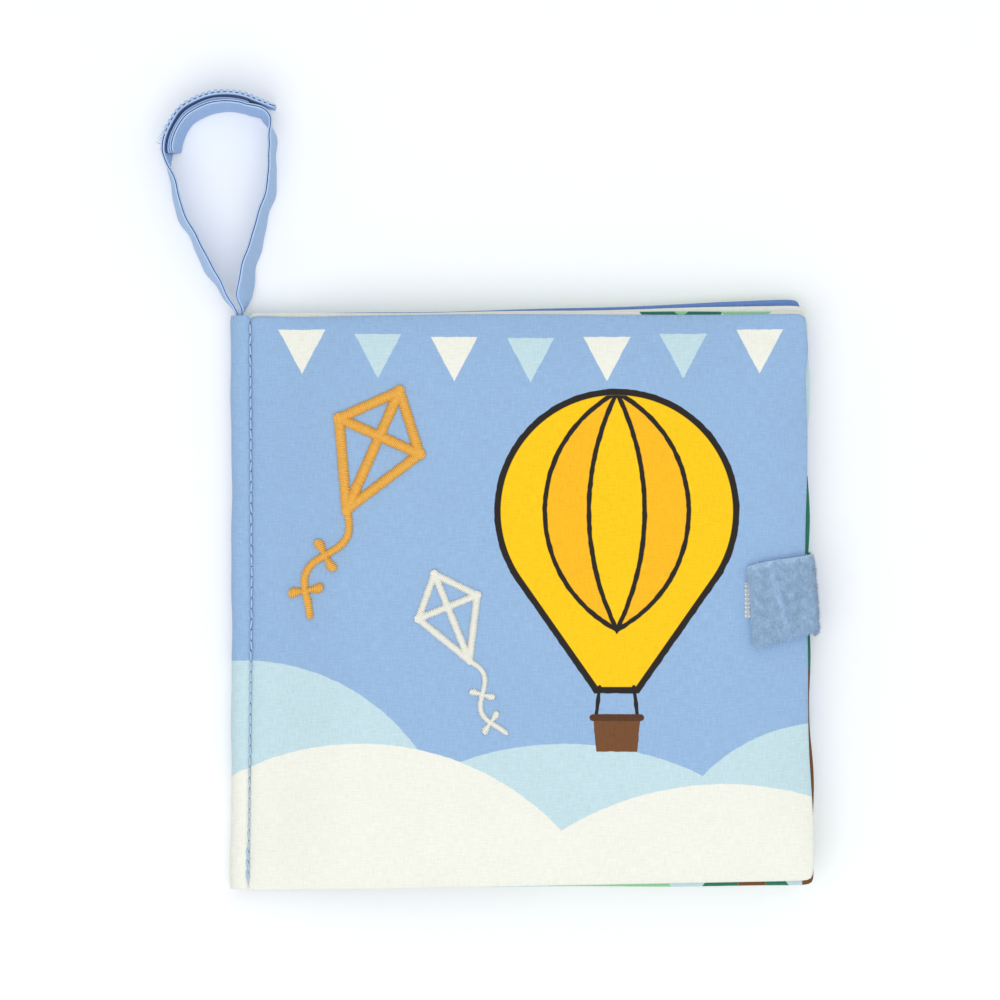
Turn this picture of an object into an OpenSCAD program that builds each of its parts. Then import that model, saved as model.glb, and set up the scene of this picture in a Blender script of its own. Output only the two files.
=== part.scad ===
// Padded cloth book for a baby, closed and lying on its back cover, in millimetres.
// The origin is the centre of the back cover's underside.
// +X runs to the fore edge, +Y to the head of the book and +Z up.

/* [Covers] */
// Width of the book, from the spine fold to the fore edge
cover_w = 170; // [150:1:200]
// Length of the book, from tail to head
cover_l = 168; // [150:1:200]
// Thickness of a padded cover at its middle
cover_t = 4.2; // [3.4:0.1:5]
// Thickness of the sewn edge of a cover or a leaf
edge_t = 1.7; // [1.5:0.1:2]
// Thickness of one printed cloth
cloth_t = 0.7; // [0.4:0.05:0.7]
// Distance over which the padding swells in from a free edge
edge_round = 22; // [16:1:30]
// Distance over which the layers swell in from the stitch line
spine_rise = 34; // [26:1:44]
// How far each layer's free edge sinks towards the one below it
edge_droop = 0.6; // [0:0.1:0.8]

/* [Pages] */
// Number of padded leaves between the covers
leaf_count = 3; // [2:1:4]
// Thickness of a padded leaf at its middle
leaf_t = 3.9; // [3.4:0.1:4.6]
// How far the leaves have slipped to the head at their fore edge, from the lowest leaf up
leaf_slip = [4.2, 2.6, 0.8];
// How far the leaves stand out of the fore edge, from the lowest leaf up
leaf_out = [-2.6, -0.8, 0.5];
// Depth to which two leaves part at their free edges
leaf_part = 7; // [3:0.5:12]

/* [Spine] */
// Distance from the spine fold to the stitch line
margin_w = 5.5; // [5:0.5:8]
// Thickness of each layer where the stitches press it
pressed_t = 2.1; // [1.9:0.05:2.4]
// Thickness of the cloth round the spine fold
fold_t = 1.0; // [0.7:0.1:1.2]
// Radius of the spine fold
fold_r = 4.2; // [3:0.1:5]

/* [Pram strap] */
// Length of the loop beyond the head of the book
loop_l = 64.5; // [50:0.5:75]
// Width of the loop
loop_w = 33; // [26:1:38]
// Width of the strap, which stands on its edge
strap_w = 15; // [12:0.5:16]
// Thickness of the folded strap
strap_t = 1.2; // [0.9:0.1:1.3]
// Thickness of the hook tape, and of the loop tape
tape_t = 0.5; // [0.3:0.1:0.7]
// Width of the two tapes
tape_w = 13; // [9:0.5:15]
// How far the strap's upper edge leans into the loop along its sides
strap_lean = 1.1; // [0:0.1:2]
// How far it leans out of the loop over its top
top_lean = 2.3; // [0:0.1:3]
// How many times as far the right side leans at its foot
foot_lean = 2.8; // [1:0.1:3]
// Length of strap that is held inside the spine
strap_root = 8; // [5:0.5:15]

/* [Closing tab] */
// Width of the tab along the fore edge
tab_w = 23.5; // [16:0.5:30]
// Thickness of the plush tab
tab_t = 1.5; // [1:0.1:2]
// How far the tab reaches over the front cover
tab_reach = 18; // [15:0.5:22]
// How far the tab's free end slants to the tail
tab_slant = 4; // [0:0.5:6]
// How far the tab's foot lies to the head of the cover's middle
tab_up = 2; // [-10:0.5:10]
// Width of the hook patch across the cover
patch_w = 15; // [8:0.5:18]
// Length of the hook patch along the fore edge
patch_l = 10.5; // [8:0.5:20]
// Thickness of the hook patch
patch_t = 1.2; // [0.8:0.1:1.4]
// Distance from the fore edge to the middle of the hook patch
patch_in = 12.5; // [10:0.5:15]

/* [Print and embroidery] */
// Thickness of a printed field of colour
print_t = 0.15; // [0.1:0.05:0.2]
// Radius of the balloon
balloon_r = 34; // [24:1:36]
// Height of the balloon's middle above the tail of the cover
balloon_up = 110; // [106:1:114]
// Distance of the balloon's middle from the middle of the cover, to the fore edge
balloon_x = 28; // [20:1:32]
// Half width of the balloon's mouth
mouth_w = 5.5; // [4:0.5:8]
// Width of the dark outline
outline_w = 1.9; // [1:0.1:2.5]
// Width of the balloon's basket
basket_w = 14; // [10:1:18]
// Height of the balloon's basket
basket_h = 11; // [8:1:14]
// Length of the basket's ropes
rope_l = 8; // [6:0.5:10]
// Length of a pennant
pennant_l = 13; // [9:0.5:15]
// Width of an embroidered line
thread_w = 3.7; // [2:0.1:4]
// Thickness of the embroidery
thread_t = 0.8; // [0.4:0.1:0.9]
// Length of the gold kite, without its tail
kite_l = 38; // [28:1:42]
// Height of the gold kite's cross above the tail of the cover
gold_up = 132; // [126:1:136]
// Distance of the gold kite's cross from the stitch line
gold_in = 38; // [34:1:42]
// Height of the cream kite's cross above the tail of the cover
cream_up = 82; // [78:1:86]
// Distance of the cream kite's cross from the stitch line
cream_in = 58; // [54:1:60]
// Size of the cream kite, as a share of the gold one
small_kite = 0.72; // [0.6:0.02:0.8]

/* [Hidden] */

// Clearances between pieces that lie on each other
layer_gap = 0.3;
seam_gap = 0.3;
fill_gap = 0.1;
print_gap = 0.05;
tape_gap = 0.15;
tab_gap = 0.4;

layers = leaf_count + 2;
top_layer = layers - 1;
fold_x = -cover_w / 2;
fore_x = cover_w / 2;
seam_x = fold_x + margin_w;
head_y = cover_l / 2;
tail_y = -cover_l / 2;
spine_h = layers * pressed_t;
hinge_z = spine_h + layer_gap;
page_x = fold_x + fold_t + 2 * strap_t + 4 * fill_gap;

// Heights of the middle of each layer, at the stitch line and at the middle of the book
function seam_mid(k) = (k + 0.5) * pressed_t + (k == top_layer ? layer_gap : 0);
function full_mid(k) =
    k == 0 ? cover_t / 2
    : k < top_layer ? cover_t + layer_gap + (k - 0.5) * leaf_t
    : cover_t * 1.5 + 2 * layer_gap + leaf_count * leaf_t;

// Half thickness of each layer, at the same two places and at its sewn edge
seam_half = pressed_t / 2 - seam_gap / 2;
edge_half = edge_t / 2;
function full_half(k) = (k == 0 || k == top_layer ? cover_t : leaf_t) / 2;

function clamp(v) = min(max(v, 0), 1);
function smooth(v) = let (c = clamp(v)) c * c * (3 - 2 * c);
function mix(a, b, v) = a + (b - a) * v;
function unit(v) = v / norm(v);

// Share of the full height that the layers have reached, counted from the stitch line
function rise(x) = smooth((x - seam_x) / spine_rise);

// Share of the full padding near the three free edges
function swell(d) = sin(90 * clamp(d / edge_round));
function fullness(x, y) = swell(fore_x - x) * swell(head_y - y) * swell(y - tail_y);

function mid_z(k, x, y) =
    mix(seam_mid(k), full_mid(k), rise(x))
    - edge_droop * k * rise(x) * (1 - fullness(x, y));
function half_z(k, x, y) =
    mix(edge_half, mix(seam_half, full_half(k), rise(x)), fullness(x, y));
function top_z(k, x, y) = mid_z(k, x, y) + half_z(k, x, y);
function low_z(k, x, y) = mid_z(k, x, y) - half_z(k, x, y);

// Lines of the net that every padded layer is made on
free_steps = [0, 0.12, 0.38, 1] * edge_round;
function back_steps(edge) = [for (i = [len(free_steps) - 1:-1:0]) edge - free_steps[i]];
function front_steps(edge) = [for (step = free_steps) edge + step];
net_x = concat(
    [for (share = [0, 0.15, 0.35, 0.55, 0.75, 1]) max(seam_x + spine_rise * share, seam_x + seam_gap)],
    [(seam_x + spine_rise + fore_x - edge_round) / 2],
    back_steps(fore_x)
);
net_y = concat(front_steps(tail_y), [0], back_steps(head_y));
function inner(list) = [for (i = [1:len(list) - 2]) list[i]];

// Closed sheet or pad between a lower and an upper surface, on a net of lines
module pad(xs, ys, lower, upper) {
    nx = len(xs);
    ny = len(ys);
    n = nx * ny;
    rim = concat(
        [for (i = [0:nx - 2]) i * ny],
        [for (j = [0:ny - 2]) (nx - 1) * ny + j],
        [for (i = [nx - 1:-1:1]) i * ny + ny - 1],
        [for (j = [ny - 1:-1:1]) j]
    );
    points = concat(
        [for (x = xs, y = ys) [x, y, lower(x, y)]],
        [for (x = xs, y = ys) [x, y, upper(x, y)]]
    );
    cells = [for (i = [0:nx - 2], j = [0:ny - 2]) i * ny + j];
    faces = concat(
        [for (c = cells, side = [0, 1]) side == 0 ? [c, c + ny, c + ny + 1] : [c, c + ny + 1, c + 1]],
        [for (c = cells, side = [0, 1])
            side == 0 ? [n + c, n + c + ny + 1, n + c + ny] : [n + c, n + c + 1, n + c + ny + 1]],
        rim_faces(rim, [for (r = rim) n + r])
    );
    polyhedron(points = points, faces = faces);
}

// Strip of triangles between two rims of as many points
function rim_faces(low, high) = [
    for (i = [0:len(low) - 1], side = [0, 1])
        let (next = (i + 1) % len(low))
            side == 0 ? [low[i], high[i], high[next]] : [low[i], high[next], low[next]]
];

// Band of cloth along a route, with its half width given as a vector at each point
module band(route, across, thickness) {
    last = len(route) - 1;
    points = [
        for (i = [0:last])
            let (
                along = unit(route[min(i + 1, last)] - route[max(i - 1, 0)]),
                out = unit(cross(along, across[i])) * thickness / 2
            )
                each [
                    route[i] - across[i] - out,
                    route[i] + across[i] - out,
                    route[i] + across[i] + out,
                    route[i] - across[i] + out
                ]
    ];
    sides = [
        for (i = [0:last - 1])
            each rim_faces([for (c = [0:3]) 4 * i + c], [for (c = [0:3]) 4 * i + 4 + c])
    ];
    ends = [[0, 1, 2], [0, 2, 3], [for (c = [2, 1, 0]) 4 * last + c], [for (c = [3, 2, 0]) 4 * last + c]];
    polyhedron(points = points, faces = concat(sides, ends));
}

// Smooth curve through a list of points
function spline_point(a, b, c, d, v) =
    0.5 * (2 * b + (c - a) * v + (2 * a - 5 * b + 4 * c - d) * v * v + (3 * b - a - 3 * c + d) * v * v * v);
function spline(p, steps) = concat(
    [
        for (i = [0:len(p) - 2], k = [0:steps - 1])
            spline_point(p[max(i - 1, 0)], p[i], p[i + 1], p[min(i + 2, len(p) - 1)], k / steps)
    ],
    [p[len(p) - 1]]
);

// Cloth on the underside and on the upper side of a padded cover, and the wadding between them
module lower_cloth(k) {
    pad(net_x, net_y, function(x, y) low_z(k, x, y), function(x, y) low_z(k, x, y) + cloth_t);
}

module upper_cloth(k) {
    pad(net_x, net_y, function(x, y) top_z(k, x, y) - cloth_t, function(x, y) top_z(k, x, y));
}

module wadding(k) {
    skin = cloth_t + fill_gap;
    pad(
        inner(net_x), inner(net_y),
        function(x, y) low_z(k, x, y) + skin,
        function(x, y) top_z(k, x, y) - skin
    );
}

module back_cover_panel() {
    color([0.6, 0.74, 0.92]) lower_cloth(0);
}

module back_cover_wadding() {
    color([0.96, 0.96, 0.94]) wadding(0);
}

module back_cover_lining() {
    color([0.78, 0.89, 0.91]) upper_cloth(0);
}

// The leaves are one block, whose free edges part between each leaf and the next
function leaf_place(k, x, y) =
    let (share = clamp((x - seam_x) / (fore_x - seam_x)))
        [x + leaf_out[(k - 1) % 3] * share, y + leaf_slip[(k - 1) % 3] * share * share];

module pages() {
    xs = concat([page_x], net_x);
    ys = net_y;
    nx = len(xs);
    ny = len(ys);
    n = nx * ny;
    rim = concat(
        [for (i = [0:nx - 2]) [i, 0]],
        [for (j = [0:ny - 2]) [nx - 1, j]],
        [for (i = [nx - 1:-1:1]) [i, ny - 1]],
        [for (j = [ny - 1:-1:1]) [0, j]]
    );
    m = len(rim);
    low_cap = [for (x = xs, y = ys) concat(leaf_place(1, x, y), low_z(1, x, y))];
    top_cap = [for (x = xs, y = ys) concat(leaf_place(leaf_count, x, y), top_z(leaf_count, x, y))];
    low_edges = [
        for (k = [2:1:leaf_count])
            [for (r = rim) let (x = xs[r[0]], y = ys[r[1]]) concat(leaf_place(k, x, y), low_z(k, x, y))]
    ];
    top_edges = [
        for (k = [1:1:leaf_count - 1])
            [for (r = rim) let (x = xs[r[0]], y = ys[r[1]]) concat(leaf_place(k, x, y), top_z(k, x, y))]
    ];
    partings = [
        for (k = [1:1:leaf_count - 1])
            [
                for (r = rim)
                    let (
                        x = xs[r[0]],
                        y = ys[r[1]],
                        depth = leaf_part * rise(x)
                    )
                        [
                            x - depth * (x - page_x) / (fore_x - page_x),
                            y - depth * y / head_y,
                            (top_z(k, x, y) + low_z(k + 1, x, y)) / 2
                        ]
            ]
    ];
    rings = [for (k = [0:1:leaf_count - 2]) each concat(top_edges[k], partings[k], low_edges[k])];
    low_rim = [for (r = rim) r[0] * ny + r[1]];
    top_rim = [for (r = low_rim) n + r];
    function ring(i) = [for (c = [0:m - 1]) 2 * n + i * m + c];
    count = 3 * (leaf_count - 1);
    cells = [for (i = [0:nx - 2], j = [0:ny - 2]) i * ny + j];
    faces = concat(
        [for (c = cells, side = [0, 1]) side == 0 ? [c, c + ny, c + ny + 1] : [c, c + ny + 1, c + 1]],
        [for (c = cells, side = [0, 1])
            side == 0 ? [n + c, n + c + ny + 1, n + c + ny] : [n + c, n + c + 1, n + c + ny + 1]],
        rim_faces(low_rim, ring(0)),
        [for (i = [0:count - 2]) each rim_faces(ring(i), ring(i + 1))],
        rim_faces(ring(count - 1), top_rim)
    );
    color([0.96, 0.95, 0.91])
        polyhedron(points = concat(low_cap, top_cap, rings), faces = faces);
}

// Flat outline whose two left corners are round
module round_end(width, height, r) {
    intersection() {
        square([width, height]);
        union() {
            translate([r, 0]) square([width, height]);
            translate([0, r]) square([width, height - 2 * r]);
            translate([r, r]) circle(r, $fn = 48);
            translate([r, height - r]) circle(r, $fn = 48);
        }
    }
}

module spine_fold() {
    inner_r = fold_r - fold_t;
    width = margin_w - seam_gap;
    color([0.6, 0.74, 0.92])
        translate([fold_x, head_y, 0])
            rotate([90, 0, 0])
                linear_extrude(cover_l)
                    difference() {
                        round_end(width, spine_h, fold_r);
                        translate([fold_t, seam_mid(1) - seam_half - fill_gap])
                            round_end(width, spine_h - 2 * pressed_t, min(inner_r, pressed_t));
                    }
}

// The strap's two ends lie side by side inside the spine, and its loop stands on edge
root_y = head_y - strap_root;
left_root = fold_x + fold_t + 2 * fill_gap + strap_t / 2;
right_root = left_root + strap_t + fill_gap;
root_half = spine_h / 2 - pressed_t * 1.7;
root_mid = spine_h / 2;
strap_mid = strap_w / 2 + 0.3;

// Place on the loop, as shares of its width and of its length
function on_loop(across, along) = [fold_x + loop_w * across, head_y + loop_l * along];
left_points = [
    [left_root, root_y], [left_root, head_y - 1.5], on_loop(0.024, 0.028), on_loop(-0.073, 0.1),
    on_loop(-0.19, 0.2), on_loop(-0.4, 0.4), on_loop(-0.545, 0.635), on_loop(-0.58, 0.775),
    on_loop(-0.467, 0.895), on_loop(-0.315, 0.952), on_loop(-0.136, 0.98), on_loop(0.085, 0.973),
    on_loop(0.388, 0.929)
];
right_points = [
    [right_root, root_y], [right_root, head_y + 0.5], on_loop(0.097, 0.109), on_loop(0.185, 0.28),
    on_loop(0.29, 0.48), on_loop(0.36, 0.68), on_loop(0.35, 0.82), on_loop(0.29, 0.9)
];
strap_steps = 4;
overlap_from = 7 * strap_steps - 1;
overlap_to = 11 * strap_steps + 1;

left_route = spline(left_points, strap_steps);
function heading(route, i) = unit(route[min(i + 1, len(route) - 1)] - route[max(i - 1, 0)]);
function inward(route, i) = let (h = heading(route, i)) [h[1], -h[0]];
function beside(i, distance) = left_route[i] + inward(left_route, i) * distance;
function beside_route(distance) = [for (i = [overlap_from:overlap_to]) beside(i, distance)];
function reversed(list) = [for (i = [len(list) - 1:-1:0]) list[i]];

hook_beside = strap_t / 2 + tape_gap + tape_t / 2;
loop_beside = hook_beside + tape_t + tape_gap;
inner_beside = loop_beside + tape_t / 2 + tape_gap + strap_t / 2;
right_route = concat(
    spline(concat(right_points, [beside(overlap_to, inner_beside)]), strap_steps),
    reversed([for (i = [overlap_from:overlap_to - 1]) beside(i, inner_beside)])
);

function strap_open(y) = smooth((y - head_y) / strap_w);

// The upper edges lean into the loop along its sides, and out of it over its top
turn_from = 5 * strap_steps;
turn_to = 7 * strap_steps;
function lean(route, i, foot) =
    let (up = route[i][1] - head_y)
        smooth(up / strap_w) * mix(
            strap_lean * mix(foot, 1, smooth(1.4 * up / loop_l)),
            -top_lean,
            smooth((i - turn_from) / (turn_to - turn_from))
        );
left_leans = [for (i = [0:len(left_route) - 1]) lean(left_route, i, 1)];
overlap_leans = [for (i = [overlap_from:overlap_to]) left_leans[i]];
right_own = len(right_route) - len(overlap_leans);
right_leans = concat(
    [for (i = [0:right_own - 1]) -lean(right_route, i, foot_lean)],
    -reversed(overlap_leans)
);

// A strap or tape on edge along a flat route, with how far it leans at each point
module edgewise(route, leans, width, thickness) {
    band(
        [for (p = route) [p[0], p[1], mix(root_mid, strap_mid, strap_open(p[1]))]],
        [
            for (i = [0:len(route) - 1])
                let (
                    share = width / strap_w,
                    over = inward(route, i) * leans[i] / 2 * share
                )
                    [over[0], over[1], mix(root_half, strap_w / 2, strap_open(route[i][1])) * share]
        ],
        thickness
    );
}

module strap_left() {
    color([0.6, 0.72, 0.88]) edgewise(left_route, left_leans, strap_w, strap_t);
}

module strap_right() {
    color([0.6, 0.72, 0.88]) edgewise(right_route, right_leans, strap_w, strap_t);
}

module strap_hook_tape() {
    color([0.55, 0.69, 0.86]) edgewise(beside_route(hook_beside), overlap_leans, tape_w, tape_t);
}

module strap_loop_tape() {
    color([0.66, 0.78, 0.9]) edgewise(beside_route(loop_beside), overlap_leans, tape_w, tape_t);
}

// The tab leaves the back cover's sewn fore edge, goes round the pages and lies on the front
tab_inner_x = fore_x + max(leaf_out) + layer_gap;
tab_x = tab_inner_x + tab_t / 2;
tab_lift = print_gap + patch_t + tab_gap + tab_t / 2;
tab_turn = 3;
tab_route = concat(
    [
        [tab_x - 0.3, tab_up, edge_half + 0.2],
        [tab_x, tab_up, full_mid(0) + 3],
        [tab_x, tab_up, mid_z(top_layer, fore_x, 0) - 1]
    ],
    [
        for (angle = [20, 55])
            [
                tab_x - tab_turn * (1 - cos(angle)),
                tab_up - tab_slant * 0.1 * angle / 90,
                mix(mid_z(top_layer, fore_x, 0), top_z(top_layer, fore_x - tab_turn, 0) + tab_lift, sin(angle))
            ]
    ],
    [
        for (share = [0.22, 0.4, 0.6, 0.8, 1])
            [
                fore_x - tab_reach * share,
                tab_up - tab_slant * share,
                top_z(top_layer, fore_x - tab_reach * share, 0) + tab_lift
            ]
    ]
);

module closing_tab() {
    color([0.57, 0.7, 0.85])
        band(tab_route, [for (p = tab_route) [0, tab_w / 2, 0]], tab_t);
}

module front_cover_panel() {
    color([0.64, 0.76, 0.91]) upper_cloth(top_layer);
}

module front_cover_wadding() {
    color([0.96, 0.96, 0.94]) wadding(top_layer);
}

module front_cover_lining() {
    color([0.96, 0.95, 0.91]) lower_cloth(top_layer);
}

// Layer that follows the front cover's padding, with the flat outline that the children give
module on_cover(thickness) {
    intersection() {
        pad(
            net_x, net_y,
            function(x, y) top_z(top_layer, x, y) + print_gap,
            function(x, y) top_z(top_layer, x, y) + print_gap + thickness
        );
        linear_extrude(full_mid(top_layer) * 2)
            children();
    }
}

module hook_patch() {
    color([0.68, 0.8, 0.92])
        on_cover(patch_t)
            translate([fore_x - patch_in, 0])
                square([patch_w, patch_l], center = true);
}

// Flat outlines of the print: hills, a balloon with a basket, and a row of pennants
// A hill is a round: its middle across and above the tail, and its radius, as shares of the cover
near_hills = [[-0.275, -0.226, 0.47], [0.35, -0.357, 0.53]];
far_hills = [[-0.475, 0.024, 0.365], [0.075, -0.298, 0.541], [0.525, -0.012, 0.294]];

module hills_outline(hills) {
    for (hill = hills)
        translate([cover_w * hill[0], tail_y + cover_l * hill[1]])
            circle(cover_w * hill[2], $fn = 96);
}

module far_hills_outline() {
    difference() {
        hills_outline(far_hills);
        hills_outline(near_hills);
        basket_outline(print_gap);
    }
}

balloon_y = tail_y + balloon_up;
balloon_slope = 35;
mouth_run = (balloon_r * cos(balloon_slope) - mouth_w) / sin(balloon_slope);
mouth_y = balloon_y - balloon_r * sin(balloon_slope) - mouth_run * cos(balloon_slope);

module balloon_outline(grow) {
    r = balloon_r + grow;
    run = mouth_run;
    sx = r * cos(balloon_slope);
    sy = -r * sin(balloon_slope);
    ex = sx - run * sin(balloon_slope);
    ey = sy - run * cos(balloon_slope) - grow * 0.4;
    translate([balloon_x, balloon_y]) {
        circle(r, $fn = 96);
        polygon([[sx, sy], [ex, ey], [-ex, ey], [-sx, sy]]);
    }
}

// A gore is the lens that two equal circles share
module gore_outline(half_width) {
    tall = balloon_r * 1.02;
    r = (tall * tall + half_width * half_width) / (2 * half_width);
    translate([balloon_x, balloon_y])
        intersection() {
            translate([r - half_width, 0]) circle(r, $fn = 96);
            translate([half_width - r, 0]) circle(r, $fn = 96);
            circle(balloon_r - 0.4, $fn = 96);
        }
}

module gores_outline() {
    difference() {
        gore_outline(balloon_r * 0.62);
        gore_outline(balloon_r * 0.24);
    }
}

basket_y = mouth_y - rope_l - basket_h;

module basket_outline(grow) {
    translate([balloon_x - basket_w / 2 - grow, basket_y - grow])
        square([basket_w + 2 * grow, basket_h + 2 * grow]);
}

module ropes_outline() {
    for (side = [-1, 1])
        translate([balloon_x, 0])
            polygon([
                [side * (mouth_w - 1), mouth_y - 0.5],
                [side * mouth_w, mouth_y - 0.5],
                [side * (basket_w / 2 - 0.5), basket_y + basket_h],
                [side * (basket_w / 2 - 1.5), basket_y + basket_h]
            ]);
}

pennants = 7;
pennant_inset = 4;
pennant_pitch = (fore_x - seam_x - 2 * pennant_inset) / pennants;

module pennants_outline() {
    difference() {
        for (i = [0:pennants - 1])
            translate([
                seam_x + pennant_inset + pennant_pitch * (i + 0.5),
                head_y - pennant_inset - pennant_l * 0.25 * sin(180 * (i + 0.5) / pennants)
            ])
                polygon([[-pennant_l * 0.53, 0], [pennant_l * 0.53, 0], [0, -pennant_l]]);
        balloon_outline(outline_w + print_gap);
    }
}

module print_far_hills() {
    color([0.78, 0.88, 0.9]) on_cover(print_t) far_hills_outline();
}

module print_near_hills() {
    color([0.96, 0.95, 0.9]) on_cover(print_t) hills_outline(near_hills);
}

module print_balloon() {
    color([1, 0.79, 0.13])
        on_cover(print_t)
            difference() {
                balloon_outline(0);
                gores_outline();
            }
}

module print_gores() {
    color([1, 0.74, 0.1]) on_cover(print_t) gores_outline();
}

module print_outline() {
    color([0.16, 0.14, 0.13])
        on_cover(print_t) {
            difference() {
                balloon_outline(outline_w);
                balloon_outline(0);
            }
            difference() {
                ropes_outline();
                balloon_outline(outline_w);
            }
        }
}

module print_basket() {
    color([0.47, 0.3, 0.18]) on_cover(print_t) basket_outline(0);
}

module print_pennants() {
    color([0.78, 0.88, 0.9]) on_cover(print_t) pennants_outline();
}

// Embroidered kite: an outline with its tail and bows, and the four panes cut out of it
function inset(t, d) =
    let (
        a = norm(t[1] - t[2]),
        b = norm(t[2] - t[0]),
        c = norm(t[0] - t[1]),
        middle = (a * t[0] + b * t[1] + c * t[2]) / (a + b + c),
        half = (a + b + c) / 2,
        r = sqrt((half - a) * (half - b) * (half - c) / half)
    )
        [for (p = t) middle + (p - middle) * (1 - d / r)];

module kite_outline(size, width) {
    corners = [[0, 0.38], [0.34, 0], [0, -0.62], [-0.34, 0]] * size;
    rim = 1 + 1.3 * width / size;
    tail_from = corners[2][1] * rim + width;
    tail_l = size * 0.8;
    wave = size * 0.09;
    steps = 24;
    function bow(i) = max([for (at = [0.45, 0.8]) 1 - abs(i / steps - at) * steps / 2]);
    function tail(i, side) = [
        wave * sin(420 * i / steps) + side * (width / 3 + size * 0.08 * max(0, bow(i))),
        tail_from - tail_l * i / steps
    ];
    difference() {
        polygon(concat(
            [corners[0] * rim, corners[1] * rim],
            [for (i = [0:steps]) tail(i, 1)],
            [for (i = [steps:-1:0]) tail(i, -1)],
            [corners[3] * rim]
        ));
        for (i = [0:3])
            polygon(inset([[0, 0], corners[i], corners[(i + 1) % 4]], width * 0.4));
    }
}

module kite_gold() {
    color([0.94, 0.69, 0.24])
        on_cover(thread_t)
            translate([seam_x + gold_in, tail_y + gold_up]) rotate(-24) kite_outline(kite_l, thread_w);
}

module kite_cream() {
    color([0.94, 0.93, 0.88])
        on_cover(thread_t)
            translate([seam_x + cream_in, tail_y + cream_up]) rotate(22)
                kite_outline(kite_l * small_kite, thread_w * small_kite);
}

back_cover_panel();
back_cover_wadding();
back_cover_lining();
pages();
spine_fold();
strap_left();
strap_right();
strap_hook_tape();
strap_loop_tape();
closing_tab();
front_cover_panel();
front_cover_wadding();
front_cover_lining();
hook_patch();
print_far_hills();
print_near_hills();
print_balloon();
print_gores();
print_outline();
print_basket();
print_pennants();
kite_gold();
kite_cream();
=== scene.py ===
import math

import bpy
import numpy as np
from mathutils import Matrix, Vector


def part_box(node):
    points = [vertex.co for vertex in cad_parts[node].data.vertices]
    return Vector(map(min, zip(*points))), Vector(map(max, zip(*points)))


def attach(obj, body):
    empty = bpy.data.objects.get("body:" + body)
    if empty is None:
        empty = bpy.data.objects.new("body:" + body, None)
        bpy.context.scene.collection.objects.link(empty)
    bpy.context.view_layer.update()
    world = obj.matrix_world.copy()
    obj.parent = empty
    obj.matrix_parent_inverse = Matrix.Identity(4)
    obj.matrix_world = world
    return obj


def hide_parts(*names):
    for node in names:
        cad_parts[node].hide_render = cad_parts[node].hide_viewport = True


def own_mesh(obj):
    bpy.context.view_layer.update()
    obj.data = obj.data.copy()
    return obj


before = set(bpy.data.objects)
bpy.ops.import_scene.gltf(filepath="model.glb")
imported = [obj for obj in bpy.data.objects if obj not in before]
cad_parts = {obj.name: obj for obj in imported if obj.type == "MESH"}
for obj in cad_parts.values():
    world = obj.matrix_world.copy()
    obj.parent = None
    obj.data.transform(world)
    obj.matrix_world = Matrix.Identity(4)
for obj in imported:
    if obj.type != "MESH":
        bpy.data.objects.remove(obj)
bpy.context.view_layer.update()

MM = 0.001
PER_METRE = 1000
rng = np.random.default_rng(7)

# Sizes that the solids were made from, in millimetres
spine_low, spine_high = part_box("spine_fold")
panel_low, panel_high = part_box("front_cover_panel")
FOLD_X = spine_low[0] / MM
FORE_X = panel_high[0] / MM
HEAD_Y = panel_high[1] / MM
TAIL_Y = panel_low[1] / MM
COVER_W = FORE_X - FOLD_X
COVER_L = HEAD_Y - TAIL_Y
SEAM_X = (spine_high[0] + panel_low[0]) / 2 / MM
SPINE_H = spine_high[2] / MM
CLOTH_T = 0.7
LEAVES = 3
TOP_LAYER = LEAVES + 1
COVER_T = 4.2
LEAF_T = 3.9
LAYER_GAP = 0.3
PRESSED_T = SPINE_H / (LEAVES + 2)
EDGE_HALF = 0.85
SEAM_HALF = (PRESSED_T - LAYER_GAP) / 2
EDGE_ROUND = 22.0
SPINE_RISE = 34.0
EDGE_DROOP = 0.6
LEAF_SLIP = [4.2, 2.6, 0.8]
LEAF_OUT = [-2.6, -0.8, 0.5]
LEAF_INSET = 4.0
LEAF_X = FOLD_X + LEAF_INSET


# Shared helpers for meshes

SOFT_ANGLE = 80
CRISP_ANGLE = 40
RIM_SHARE = 0.001
MIDDLE_ROW = 0.02
FACE_ROW = 0.45


def deselect():
    if bpy.context.object and bpy.context.object.mode != "OBJECT":
        bpy.ops.object.mode_set(mode="OBJECT")
    bpy.ops.object.select_all(action="DESELECT")


def named(name):
    """The piece that an operator has just added, under its own name."""
    piece = bpy.context.object
    piece.name = name
    piece.data.name = name
    return piece


def take(piece):
    deselect()
    piece.select_set(True)
    bpy.context.view_layer.objects.active = piece


def places(piece):
    points = np.empty(len(piece.data.vertices) * 3)
    piece.data.vertices.foreach_get("co", points)
    return points.reshape(-1, 3)


def put(piece, points):
    piece.data.vertices.foreach_set("co", np.ascontiguousarray(points).reshape(-1))
    piece.data.update()


def smooth_shade(piece, angle):
    take(piece)
    bpy.ops.object.shade_smooth_by_angle(angle=math.radians(angle))


def refine(piece):
    """Rounds the mesh off by one subdivision and shades it smooth."""
    finer = piece.modifiers.new("Finer", "SUBSURF")
    finer.levels = finer.render_levels = 1
    take(piece)
    bpy.ops.object.modifier_apply(modifier=finer.name)
    smooth_shade(piece, SOFT_ANGLE)


def ease(value):
    """Smooth step from 0 to 1."""
    share = np.clip(value, 0, 1)
    return share * share * (3 - 2 * share)


def blend_to(low, high, share):
    return low + (high - low) * share


def unit(vectors):
    return vectors / np.linalg.norm(vectors, axis=-1, keepdims=True)


def walked_along(points):
    """Distance walked at each point of a line, from its start."""
    steps = np.linalg.norm(np.diff(points, axis=0), axis=1)
    return np.concatenate([[0], np.cumsum(steps)])


def read_off(rows, known, spots):
    """Rows at new spots, between rows that lie at known ones."""
    return np.column_stack([np.interp(spots, known, column) for column in rows.T])


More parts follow.
